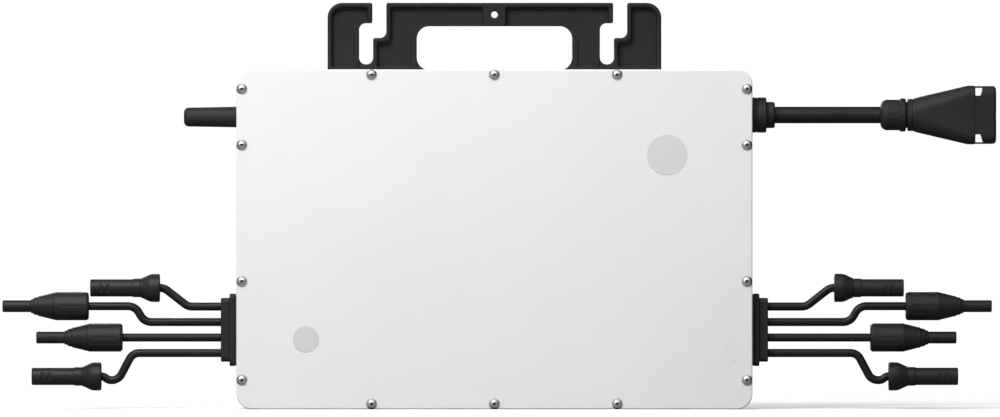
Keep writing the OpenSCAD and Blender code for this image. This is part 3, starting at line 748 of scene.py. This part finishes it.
def screw_head(place, radius, height, drive_r, drive_depth):
    """A domed head with a six-lobed drive, standing along its own X, with a short shank behind it."""
    dome = (radius ** 2 + height ** 2) / (2 * height)
    shank_r = radius * 0.5
    profile = [(-1.2, AXIS), (-1.2, shank_r), (0.0, shank_r), (0.0, radius - 0.15), (0.12, radius)]
    start = math.asin(radius / dome)
    stop = math.asin((drive_r * 1.22) / dome)
    for k in range(1, 7):
        a = start + (stop - start) * k / 6
        profile.append((height - dome + dome * math.cos(a), dome * math.sin(a)))
    top = profile[-1][0]
    drive = [(top - 0.02, drive_r * 1.08), (top - 0.2, drive_r), (top - drive_depth, drive_r * 0.96),
             (top - drive_depth - 0.25, AXIS)]

    def lobes(x, r, angle):
        return r * (1 + (0.08 if x > top - 0.1 else 0.16) * math.cos(6 * angle))

    return skin("head", turned(profile, place, 48) + turned(drive, place, 48, lobes))


def island_centres(node):
    """The centre, lowest corner and highest corner of each separate solid of a CAD node."""
    work = bmesh.new()
    work.from_mesh(frame["nodes"][node].data)
    bmesh.ops.remove_doubles(work, verts=work.verts, dist=1e-6)
    left = set(work.verts)
    found = []
    while left:
        stack = [left.pop()]
        island = list(stack)
        while stack:
            for edge in stack.pop().link_edges:
                for vert in edge.verts:
                    if vert in left:
                        left.remove(vert)
                        stack.append(vert)
                        island.append(vert)
        low = Vector([min(v.co[i] for v in island) for i in range(3)]) / MM
        high = Vector([max(v.co[i] for v in island) for i in range(3)]) / MM
        found.append(((low + high) / 2, low, high))
    work.free()
    return sorted(found, key=lambda item: (round(item[0].x, 1), round(item[0].z, 1)))


def screw_place(centre, seat_y, way, turn):
    """Maps a screw's own X, Y, Z to the frame: seated at seat_y, facing that way along Y, and turned."""
    c, s = math.cos(turn), math.sin(turn)
    return lambda u, v, w: Vector((centre.x + v * c - w * s, seat_y + way * u, centre.z + v * s + w * c))


def build_screws():
    """The screw heads, those of the cover each with its drive at a turn of its own."""
    heads = []
    for centre, low, high in island_centres("cover_screws"):
        place = screw_place(centre, COVER_FRONT, -1, random.uniform(0, math.pi))
        heads.append(screw_head(place, (high.x - low.x) / 2 - 0.02, 2.05, 1.0, 1.4))
    fit_out(join("cover_screw_heads", heads), "casing", "steel", "cover_screws")

    heads = []
    for centre, *_ in island_centres("bracket_screws"):
        heads.append(screw_head(screw_place(centre, COUNTERBORE_Y, 1, 0.0), 3.8, 2.5, 1.6, 2.0))
    fit_out(join("bracket_screw_heads", heads), "casing", "steel", "bracket_screws")


# ---- Hanging bracket ----


def slot_path(column_x, slot_r, top, column_foot):
    """The slot's edge from its left lip to its right one, as points with a corner radius each."""
    channel_x = column_x + SLOT_SHIFT
    lip = -5.5
    left, right = column_x - slot_r, column_x + slot_r
    return [
        ((channel_x - slot_r, top), 1.3),
        ((channel_x - slot_r, lip), 1.3),
        ((left, lip), slot_r - 0.3),
        ((left, column_foot), slot_r * 0.97),
        ((right, column_foot), slot_r * 0.97),
        ((right, SLOT_SHELF), 1.3),
        ((channel_x + slot_r, SLOT_SHELF), slot_r),
        ((channel_x + slot_r, top), 1.3),
    ]


def bracket_outline(low, high, slot_r, columns, foot_of_slot):
    corners = [((low.x, low.z), 2.0), ((low.x, high.z), 9.5)]
    for column in columns:
        corners += slot_path(column, slot_r, high.z, foot_of_slot)
    corners += [((high.x, high.z), 9.5), ((high.x, low.z), 2.0)]
    return rounded([c[0] for c in corners], [c[1] for c in corners], steps=10)


def recess_cutter(points, y_front, y_floor):
    """A pocket whose upper edge rounds over onto the rim, with a filleted floor."""
    lip, fillet = 1.1, 0.9
    levels = [(-lip - 0.4, y_front - 0.6), (-lip, y_front - 0.01)]
    levels += [(-lip * (1 - s), y_front + lip * (1 - c)) for s, c in quarter(5)[1:]]
    levels += [(fillet * (1 - c), y_floor - fillet * (1 - s)) for s, c in quarter(4)]
    return plate("pocket", [points], levels)


def bracket_pockets(low, high, slot_r, left, right, base):
    """The four front recesses, as points and corner radii: outside and inside each slot."""
    rim = 2.9
    boss = 7.6
    corner, wide_corner = 1.4, 6.8
    ceiling = high.z - rim
    in_x = WINDOW_HALF - 12.0
    in_z = WINDOW_TOP - 6.0
    shelf = SLOT_SHELF - rim
    lips = [column + SLOT_SHIFT - slot_r - rim for column in (left, right)]
    feet = [column + slot_r + rim for column in (left, right)]
    channels = [column + SLOT_SHIFT + slot_r + rim for column in (left, right)]
    outer_left = [(low.x + rim, base), (lips[0], base), (lips[0], ceiling), (low.x + rim, ceiling)]
    inner_right = [(in_x, base), (lips[1], base), (lips[1], ceiling), (boss, ceiling), (boss, in_z),
                   (in_x, in_z)]
    inner_left = [(channels[0], ceiling), (channels[0], shelf), (feet[0], shelf), (feet[0], base),
                  (-in_x, base), (-in_x, in_z), (-boss, in_z), (-boss, ceiling)]
    outer_right = [(channels[1], ceiling), (channels[1], shelf), (feet[1], shelf), (feet[1], base),
                   (high.x - rim, base), (high.x - rim, ceiling)]
    beside_slot = [corner, 4.1, 1.2, corner, corner]
    return [(outer_left, [corner] * 3 + [wide_corner]), (inner_right, [corner] * 5 + [2.0]),
            (inner_left, beside_slot + [2.0, corner, corner]), (outer_right, beside_slot + [wide_corner])]


def bracket_ribs(slot_r, columns, base, floor_y):
    """Low ribs on the recess floor, beside the window and beside each slot's column."""
    gap = 0.15
    wide, narrow = 3.8, 3.1
    bands = [(-WINDOW_HALF - wide, -WINDOW_HALF - gap, 8.5), (WINDOW_HALF + gap, WINDOW_HALF + wide, 8.5)]
    bands += [(x - slot_r - narrow, x - slot_r - gap, 3.0) for x in columns]
    ribs = []
    for x0, x1, drop in bands:
        outline = rectangle(x0, base - 1.2, x1, WINDOW_TOP - drop, 0.8, steps=4)
        ribs.append(plate("rib", [outline], [(0, floor_y + 0.6), (0, floor_y - 0.5), (0.12, floor_y - 0.8),
                                             (0.45, floor_y - 0.95)]))
    return ribs


def build_bracket():
    """An open handle between two keyed slots, with recesses in its front and low ribs in them."""
    low, high = box_mm("hanging_bracket")
    slot_r = MOUNTS["hanging_slot_left"]["dims"]["r_mm"]
    left = mount_mm("hanging_slot_left")
    right = mount_mm("hanging_slot_right")
    outline = bracket_outline(low, high, slot_r, [left.x, right.x], left.z - slot_r)
    window = rectangle(-WINDOW_HALF, CASE_TOP, WINDOW_HALF, WINDOW_TOP, 8.0, steps=10)
    hole = circle(0, 0, MOUNTS["fixing_hole"]["dims"]["r_mm"], 32)
    body = plate("bracket_moulding", [outline, window, hole], soft_edges(low.y, high.y, 1.1, 0.6, 5))
    floor_y = low.y + 4.0
    base = CASE_TOP + 1.9
    pockets = bracket_pockets(low, high, slot_r, left.x, right.x, base)
    carve(body, [recess_cutter(rounded(points, radii, steps=5), low.y, floor_y) for points, radii in pockets])
    carve(body, bracket_ribs(slot_r, [left.x, right.x], base, floor_y), "UNION")
    bores = []
    for centre, *_ in island_centres("bracket_screws"):
        bores.append(plate("counterbore", [circle(centre.x, centre.z, 4.2)], [(0, COUNTERBORE_Y), (0, 1.0)]))
    carve(body, bores)
    fit_out(body, "casing", "bracket_plastic", "hanging_bracket")


# ---- Antenna ----


def build_antenna():
    """The antenna's cover: a slightly tapered stub with a round end."""
    low, high = box_mm("antenna_cover")
    root_r = (high.z - low.z) / 2
    tip_r = root_r * 0.91
    neck_r = 3.9
    length = CASE_LOW.x - low.x
    centre = (low + high) / 2
    profile = soft_profile([(-6.0, 0.01), (-6.0, neck_r), (0.05, neck_r), (0.05, root_r - 0.35),
                            (0.4, root_r), (length, tip_r), (length, 0.01)],
                           [0, 0, 0, 0.1, 0.5, 3.0, 0], steps=8)
    stub = lathe("antenna_stub", profile, along_x(-1, CASE_LOW.x, centre.y, centre.z), 72)
    fit_out(stub, "casing", "black_plastic", "antenna_cover")


# ---- Glands ----


def build_pv_glands():
    """Each gland block: a flange, a stepped body, and a chamfered seat round each cable."""
    low, high = box_mm("pv_glands")
    centre = (low + high) / 2
    half_z = (high.z - low.z) / 2
    half_y = (high.y - low.y) / 2
    flange_x = CASE_W / 2 + 1.0
    flange_l = 3.6
    reach = high.x - flange_x
    seat_r, mouth_r = 2.95, 3.9
    blocks = []
    for side in (-1, 1):
        place = along_x(side, side * flange_x, centre.y, centre.z)
        flange = loft("flange", block_sections(0, flange_l, half_y, half_z, 3.0, 0.7), place)
        inner = block_sections(flange_l - 1.0, reach, half_y - 1.75, half_z - 2.75, 3.0, 0.8)
        step = loft("step", inner, place)
        carve(flange, [step], "UNION")
        cuts = []
        for n in lead_numbers(side):
            joint = joint_mm(f"pv_lead_{n}_flex")
            seat = along_x(side, side * flange_x, joint.y, joint.z)
            profile = [(reach - 1.6, 0.01), (reach - 1.6, seat_r), (reach - 0.5, seat_r),
                       (reach + 0.4, mouth_r), (reach + 0.4, 0.01)]
            cuts.append(lathe("seat", profile, seat, 40))
        blocks.append(carve(flange, cuts))
    fit_out(join("pv_gland_blocks", blocks), "casing", "black_plastic", "pv_glands")


def lead_numbers(side):
    return range(1, 5) if side < 0 else range(5, 9)


def build_ac_gland():
    """The grid gland: a grooved collar, and a smaller sleeve that the cable leaves by."""
    length = box_mm("ac_gland")[1].x - CASE_HIGH.x
    collar_r, sleeve_r, bore_r = 11.3, 8.4, 5.38
    groove_r = collar_r - 0.4
    outer = soft_profile([(0.05, groove_r), (0.45, collar_r), (2.6, collar_r), (2.6, groove_r),
                          (3.2, groove_r), (3.2, collar_r), (8.7, collar_r), (9.2, 10.6), (9.2, sleeve_r),
                          (length - 0.9, sleeve_r), (length - 0.05, 7.6)],
                         [0, 0.3, 0.15, 0.1, 0.1, 0.15, 0.4, 0.4, 0.6, 0.5, 0], steps=3)
    inner = [(length - 0.05, 6.4), (length - 1.2, 5.5), (length - 1.6, bore_r), (0.05, bore_r)]
    gland = hollow_lathe("ac_gland_body", outer, inner, along_x(1, CASE_HIGH.x, MID_Y, AC_Z), 96)
    fit_out(gland, "casing", "black_plastic", "ac_gland")


# ---- Leads ----


def ease(t):
    return t * t * (3 - 2 * t)


def s_bend(rise, slope, radius):
    """Steps of a double bend, as (length, angle of turn), for a rise at a slope in degrees."""
    turn = math.copysign(math.radians(slope), rise)
    straight = (abs(rise) - 2 * radius * (1 - math.cos(turn))) / abs(math.sin(turn))
    return [(radius * abs(turn), turn), (straight, 0.0), (radius * abs(turn), -turn)]


def s_width(rise, slope, radius):
    bend = s_bend(rise, slope, radius)
    return 2 * radius * math.sin(math.radians(slope)) + bend[1][0] * math.cos(math.radians(slope))


def walk(x, z, steps, stride=0.7):
    """Points along straights and arcs, starting level at (x, z)."""
    path = [(x, z)]
    heading = 0.0
    for length, turn in steps:
        count = max(int(length / stride), 1)
        for _ in range(count):
            heading += turn / count / 2
            x += length / count * math.cos(heading)
            z += length / count * math.sin(heading)
            heading += turn / count / 2
            path.append((x, z))
    return path


def lead_path(n, start_x, start_z, nut_x, nut_z):
    """A solar lead's path into its cap nut: straight, or with one or two double bends, by its row."""
    row = (n - 1) % 4
    inside = 6.0
    if row == 2:
        return walk(start_x, start_z, [(nut_x + inside - start_x, 0.0)])
    rise = nut_z - start_z
    if row == 3:
        dip = 2.4
        bends = [(rise - dip, 62, 7.0), (dip, 40, 4.5)]
        gap, after = 0.6, 0.0
    else:
        bends = [(rise, 38 if row == 0 else 60, 8.0)]
        gap, after = 0.0, 0.0 if row == 0 else 25.2
    width = sum(s_width(*bend) for bend in bends) + gap
    steps = [(nut_x - after - width - start_x, 0.0)]
    for bend in bends:
        steps += s_bend(*bend) + [(gap, 0.0)]
    return walk(start_x, start_z, steps[:-1] + [(after + inside, 0.0)])


def build_cable(name, path, side, y, radius):
    """One continuous cable between the casing and the lead's body."""
    path = [Vector((side * x, y, z)) for x, z in path]
    cable = tube(name, path, radius)
    shade(cable)
    dress(cable, "cable_jacket")
    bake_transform(cable)
    return cable


def fluted(start, end, ramp_in, ramp_out, count, depth):
    """A shape for turned(): lengthwise flutes between two stations, which fade in and out over ramps."""
    def shape(x, r, angle):
        fade = min((x - start) / ramp_in, (end - x) / ramp_out, 1.0)
        return r - depth * max(math.cos(count * angle), 0.0) ** 2 * ease(max(fade, 0.0))
    return shape


def plug_parts(place):
    """The plug: a fluted cap nut, a body that steps down to a hollow nose, and its contact."""
    nut_r, cone_r, neck_r, nose_r = 9.1, 8.7, 6.6, 3.85
    bore_r, tail_r = 3.1, 2.15
    outer = soft_profile([(0.0, 6.9), (0.0, 8.1), (1.3, nut_r), (3.0, nut_r)], [0, 0.4, 0.8, 0])
    outer += [(x, nut_r) for x in (3.2, 3.8, 4.4, 4.9, 8.0, 12.0, 15.0, 17.7, 18.2, 18.8, 19.4)]
    outer += soft_profile([(20.4, nut_r), (21.1, nut_r), (22.5, 8.74), (22.5, 8.4), (22.5, 6.8)],
                          [0, 1.2, 0.12, 0.1, 0], steps=3)
    inner = [(9.0, 6.7), (9.0, bore_r), (1.2, bore_r), (0.0, 4.2)]
    nut = hollow_lathe("plug_nut", outer, inner, place, 112, fluted(3.2, 19.4, 1.6, 1.6, 14, 0.2))

    outer = soft_profile([(10.0, 3.2), (10.0, neck_r), (22.66, neck_r), (22.66, cone_r), (31.0, neck_r),
                          (31.9, neck_r), (32.5, 6.0), (34.2, 5.6), (35.0, 5.5), (35.5, 4.75), (37.0, 4.5),
                          (37.3, nose_r), (54.7, nose_r), (55.35, 3.4), (55.35, 3.05)],
                         [0, 0.3, 0.1, 0.12, 1.2, 0.4, 0.4, 0.8, 0.3, 0.4, 0.4, 0.3, 0.4, 0.2, 0])
    inner = [(54.9, 2.85), (39.5, 2.85), (39.5, tail_r), (10.0, tail_r)]
    body = hollow_lathe("plug_body", outer, inner, place, 72)
    profile = soft_profile([(38.0, 0.01), (38.0, 2.0), (52.0, 2.0), (52.3, 1.7), (52.3, 1.35), (40.5, 1.3),
                            (40.5, 0.01)], [0, 0, 0.3, 0.2, 0.1, 0, 0], steps=3)
    return nut, body, lathe("plug_pin", profile, place, 40)


def socket_parts(place):
    """The socket: a flared cap nut, a body with latch windows and a seal seat, and its contact."""
    flare_x, flare_end, nut_end = 4.6, 13.6, 12.25
    flare_r, waist_r, neck_r, body_r = 9.1, 6.1, 4.65, 5.6
    bore_r, tail_r = 3.1, 2.15
    outer = soft_profile([(0.0, 6.6), (0.0, 8.6), (0.5, flare_r), (flare_x, flare_r)], [0, 0.4, 0.6, 0])
    for k in range(1, 13):
        x = flare_x + (nut_end - flare_x) * k / 12
        outer.append((x, waist_r + (flare_r - waist_r) * ease((flare_end - x) / (flare_end - flare_x))))
    outer.append((nut_end, 4.8))
    inner = [(8.0, 4.75), (8.0, bore_r), (1.2, bore_r), (0.0, 4.2)]
    nut = hollow_lathe("socket_nut", outer, inner, place, 72)

    outer = soft_profile([(8.5, 3.2), (8.5, neck_r), (12.4, neck_r), (12.4, 6.05), (16.8, 6.02),
                          (17.8, body_r), (44.2, body_r), (44.68, body_r - 0.45), (44.68, 4.55)],
                         [0, 0.2, 0.1, 0.3, 0.6, 0.6, 0.4, 0.15, 0], steps=3)
    inner = [(44.2, 4.3), (39.7, 4.3), (39.7, 4.05), (23.8, 4.05), (23.8, tail_r), (8.5, tail_r)]
    body = hollow_lathe("socket_body", outer, inner, place, 72)
    cuts = []
    for x in (37.6, 33.5):
        for front in (-1, 1):
            slot = block_sections(x - 1.3, x + 1.3, 1.0, 4.1, 0.5, 0.2)
            cuts.append(loft("window", slot, lambda u, v, w, front=front: place(u, v + front * 5.65, w)))
    carve(body, cuts)
    profile = soft_profile([(20.0, 0.01), (20.0, 1.9), (24.5, 1.9), (24.8, 1.2), (36.0, 1.2), (37.0, 0.5),
                            (37.0, 0.01)], [0, 0, 0.2, 0.1, 0.4, 0.3, 0], steps=3)
    return nut, body, lathe("socket_pin", profile, place, 32)


def build_pv_lead(n):
    """One solar lead: its cable, and the cap nut, connector and contact at its end."""
    side = -1 if n in lead_numbers(-1) else 1
    joint = f"pv_lead_{n}_flex"
    body_name = f"pv_lead_{n}_swing"
    pivot = joint_mm(joint)
    nut_low, nut_high = box_mm(f"pv_cap_nut_{n}")
    nut_x = nut_low.x if side > 0 else -nut_high.x
    axis_z = (nut_low.z + nut_high.z) / 2
    path = lead_path(n, CASE_W / 2 + 6.0, pivot.z, nut_x, axis_z)
    cable = build_cable(f"pv_cable_{n}", path, side, pivot.y, 2.65)
    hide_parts(f"pv_lead_{n}", "pv_tails")

    place = along_x(side, side * nut_x, pivot.y, axis_z)
    is_plug = n % 4 in (2, 3)
    nut, body, pin = plug_parts(place) if is_plug else socket_parts(place)
    nut.name = f"cap_nut_{n}"
    body.name = f"connector_{n}"
    pin.name = f"contact_{n}"
    fit_out(nut, body_name, "connector_plastic", f"pv_cap_nut_{n}")
    fit_out(body, body_name, "connector_plastic", f"pv_connector_{n}")
    fit_out(pin, body_name, "tin")


def build_ac_lead():
    """The grid lead: its cable, a ribbed cap nut with a flanged end, and the coupler."""
    body_name = "ac_lead_swing"
    nut_x = box_mm("ac_cap_nut")[0].x
    start_x = CASE_W / 2 + 4.0
    path = walk(start_x, AC_Z, [(nut_x + 8.0 - start_x, 0.0)])
    cable = build_cable("grid_cable", path, 1, MID_Y, 5.35)
    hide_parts("ac_cable", "ac_tail")

    place = along_x(1, nut_x, MID_Y, AC_Z)
    nut_r, flange_r, mouth_r, dome_l = 9.9, 10.7, 5.7, 4.6
    outer = [(dome_l * (1 - c), mouth_r + (nut_r - mouth_r) * s) for s, c in quarter(7)]
    outer += [(x, nut_r) for x in (5.2, 5.8, 6.4, 8.0, 10.0, 11.4, 11.9, 12.3)]
    outer += soft_profile([(12.4, nut_r), (12.9, flange_r), (15.6, flange_r), (16.35, 10.0), (16.35, 8.5)],
                          [0, 0.4, 0.4, 0.3, 0], steps=3)
    inner = [(10.5, 8.4), (10.5, 5.55), (1.0, 5.5), (0.0, 5.6)]
    nut = hollow_lathe("grid_cap_nut", outer, inner, place, 96, fluted(5.0, 12.2, 1.2, 0.8, 16, 0.22))
    fit_out(nut, body_name, "black_plastic", "ac_cap_nut")
    build_coupler(place, box_mm("ac_coupler")[1].x - nut_x, body_name)


def coupler_sections(total, deep, tall, step):
    """Sections of the coupler's shell: a round neck, a flare, and from step on a mouth with rounded edges."""
    neck, root = 10.35, 8.3
    flare, shoulder = 21.2, 56.0
    flare_z = neck + 0.35
    sections = [(11.0, root, root, root), (17.3, root, root, root), (17.4, neck - 0.5, neck - 0.5, neck),
                (17.9, neck - 0.05, neck - 0.05, neck), (20.2, neck, neck, neck),
                (20.5, neck - 0.3, neck - 0.2, neck), (flare, neck - 0.2, neck + 0.15, neck)]
    steps = 10
    for k in range(1, steps + 1):
        t = k / steps
        half_y = neck + (deep - neck) * ease(t)
        half_z = flare_z + (tall - flare_z) * t
        sections.append((flare + (shoulder - flare) * t, half_y, half_z, neck + (7.0 - neck) * t))
    mouth_y, mouth_z = deep - 0.35, tall - 0.3
    sections += [(shoulder + 1.0, deep, tall, 6.6), (step - 0.3, deep, tall, 6.2),
                 (step, mouth_y, mouth_z, 6.0)]
    edge = 2.2
    for s, c in quarter(6):
        cut = edge * (1 - c)
        sections.append((total - edge + edge * s, mouth_y - cut, mouth_z - cut, 6.0))
    return sections


def build_coupler(place, total, body_name):
    """The coupler's shell, with a latch window through each edge and a bore in its mouth."""
    deep, tall, step = 12.2, 18.85, 60.3
    shell = loft("coupler_shell", coupler_sections(total, deep, tall, step), place)
    cuts = []
    low, high = 12.4, 17.5
    corners = [(step + 0.4, low), (step + 4.4, low), (step + 5.7, high), (step + 0.4, high)]
    window = rounded(corners, 0.5, steps=3)
    for side in (-1, 1):
        rings = [[place(p.x, y, side * p.y) for p in window] for y in (-deep - 2, deep + 2)]
        cuts.append(skin("latch_window", rings))
    bore_r, mouth_r = 9.0, 10.0
    mouth = [(total - 20.0, 0.01), (total - 20.0, bore_r), (total - 6.0, bore_r), (total - 6.0, mouth_r),
             (total - 0.5, mouth_r), (total + 0.1, 10.6), (total + 1.0, 10.6), (total + 1.0, 0.01)]
    cuts.append(lathe("mouth", mouth, place, 64))
    carve(shell, cuts)
    fit_out(shell, body_name, "black_plastic", "ac_coupler", "ac_latch_upper", "ac_latch_lower")


# ---- Pieces that keep their CAD shape ----


def finish_cad_nodes():
    """Materials for the pieces sealed inside."""
    seal, tin, steel = FINISHES["seal"], FINISHES["tin"], FINISHES["steel"]
    finishes = {
        "cover_seal": seal, "pv_gland_seals": seal, "pv_tails": FINISHES["cable_jacket"],
        "antenna_rod": tin, "ac_contacts": tin,
        "antenna_nut": steel, "ac_gland_nut": steel, "board_screws": steel,
        "main_board": board_finish("solder_mask", (0.012, 0.12, 0.05)),
        "control_board": board_finish("control_mask", (0.01, 0.05, 0.12)),
        "transformer_cores": sintered("ferrite", (0.045, 0.045, 0.05)),
        "line_chokes": sintered("choke_ferrite", (0.06, 0.06, 0.05)),
        "transformer_windings": wound_wire("copper_wire", (0.72, 0.33, 0.14)),
        "input_capacitors": bright_metal("capacitor_can", (0.16, 0.2, 0.38), 0.3, (1.0, 1.0, 0.05)),
        "film_capacitors": moulded("film_case", (0.5, 0.42, 0.06), 0.45, 0.8, 0.02),
        "power_transistors": moulded("epoxy_package", (0.03, 0.03, 0.03), 0.55, 0.4, 0.015),
        "grid_relays": moulded("relay_case", (0.04, 0.09, 0.28), 0.35, 0.9, 0.01),
        "radio_module": bright_metal("shield_can", (0.7, 0.7, 0.7), 0.3, (0.05, 1.0, 1.0)),
        "terminal_blocks": moulded("terminal_plastic", (0.03, 0.2, 0.07), 0.45, 0.8, 0.02),
        "potting_layer": cured_resin("potting_resin", (0.03, 0.03, 0.033)),
    }
    for node, material in finishes.items():
        node_object = frame["nodes"][node]
        node_object.data.materials.clear()
        node_object.data.materials.append(material)


# ---- Stage ----


def area_light(name, at, size, power):
    """A rectangular light that looks at the middle of the casing."""
    data = bpy.data.lights.new(name, "AREA")
    data.shape = "RECTANGLE"
    data.size, data.size_y = size
    data.energy = power
    lamp = bpy.data.objects.new(name, data)
    lamp.location = Vector(at)
    target = Vector((0, 0, CASE_MID * MM))
    lamp.rotation_euler = (target - lamp.location).to_track_quat("-Z", "Y").to_euler()
    bpy.context.scene.collection.objects.link(lamp)


def build_floor():
    """A pale floor that fades to the white of the background, and can't be seen from below."""
    low = CASE_BOTTOM * MM
    half = 4.0
    mesh = bpy.data.meshes.new("floor")
    mesh.from_pydata([(-half, -half, low), (half, -half, low), (half, half, low), (-half, half, low)],
                     [], [(0, 1, 2, 3)])
    floor = bpy.data.objects.new("floor", mesh)
    bpy.context.scene.collection.objects.link(floor)
    f = Finish("pale_floor")
    seen_direct = f.node("ShaderNodeLightPath").outputs["Is Camera Ray"]
    f.set(Base_Color=f.blend(seen_direct, grey(0.20), grey(0.86)), Roughness=0.8, Specular_IOR_Level=0.1)
    f.set(Emission_Color=(1.0, 1.0, 1.0, 1.0), Emission_Strength=f.between(seen_direct, 0.0, 0.12))
    away = f.worked("ShaderNodeVectorMath", "LENGTH", f.stretched(1.0, 1.4, 0.0)).outputs["Value"]
    fade = f.between(away, 0.0, 1.0, 0.3, 0.75)
    below = f.node("ShaderNodeNewGeometry").outputs["Backfacing"]
    hidden = f.maths("MULTIPLY", f.maths("MAXIMUM", fade, below), seen_direct)
    clear = f.node("ShaderNodeBsdfTransparent").outputs[0]
    f.feed(f.tree.nodes["Material Output"].inputs["Surface"], f.either(hidden, f.surface.outputs[0], clear))
    mesh.materials.append(f.material)


def build_world():
    """Pure white to the camera, and for the object a soft light that falls off to the lower right."""
    world = bpy.data.worlds.new("studio")
    bpy.context.scene.world = world
    world.use_nodes = True
    world.node_tree.nodes.clear()
    w = Nodes(world.node_tree)
    white = (1, 1, 1, 1)
    brightest = Vector((-0.4, -0.75, 0.55)).normalized()
    facing = w.dot(w.node("ShaderNodeTexCoord").outputs["Generated"], brightest)
    level = w.between(facing, 0.03, 0.53, -0.3, 0.95, "SMOOTHSTEP")
    lit = w.node("ShaderNodeBackground", Color=white, Strength=level).outputs[0]
    seen = w.node("ShaderNodeBackground", Color=white, Strength=1.02).outputs[0]
    direct = w.node("ShaderNodeLightPath").outputs["Is Camera Ray"]
    w.node("ShaderNodeOutputWorld", Surface=w.either(direct, lit, seen))


def build_camera():
    """A straight front view through a long lens, framed by shares of the picture's width."""
    low, high = cad_bounds
    filled = 0.9932
    margin = 0.0025
    picture_tall = 0.417
    distance = 8.0
    sensor = 36.0
    view_w = (high.x - low.x) / filled
    data = bpy.data.cameras.new("camera")
    data.sensor_width = sensor
    data.lens = sensor * (distance + MID_Y * MM - low.y) / view_w
    data.clip_end = 60.0
    camera = bpy.data.objects.new("camera", data)
    x = low.x + view_w * (0.5 - margin)
    z = high.z - view_w * (picture_tall / 2 - margin)
    camera.location = (x, low.y - distance, z)
    camera.rotation_euler = (math.pi / 2, 0, 0)
    bpy.context.scene.collection.objects.link(camera)
    bpy.context.scene.camera = camera


def build_stage():
    build_floor()
    build_world()
    build_camera()
    area_light("key", (-0.5, -0.85, 0.75), (0.6, 0.5), 14.8)
    area_light("strip", (0.0, -1.0, 0.8), (1.8, 0.2), 4.2)
    area_light("top", (0.0, -0.1, 1.1), (1.6, 0.5), 2.2)
    area_light("rear", (-0.5, 1.7, 0.35), (1.2, 1.0), 22.0)
    settings = bpy.context.scene.view_settings
    settings.view_transform = "Standard"
    settings.look = "None"


build_cover()
build_housing()
build_screws()
build_bracket()
build_antenna()
build_pv_glands()
build_ac_gland()
for number in range(1, 9):
    build_pv_lead(number)
build_ac_lead()
finish_cad_nodes()
build_stage()
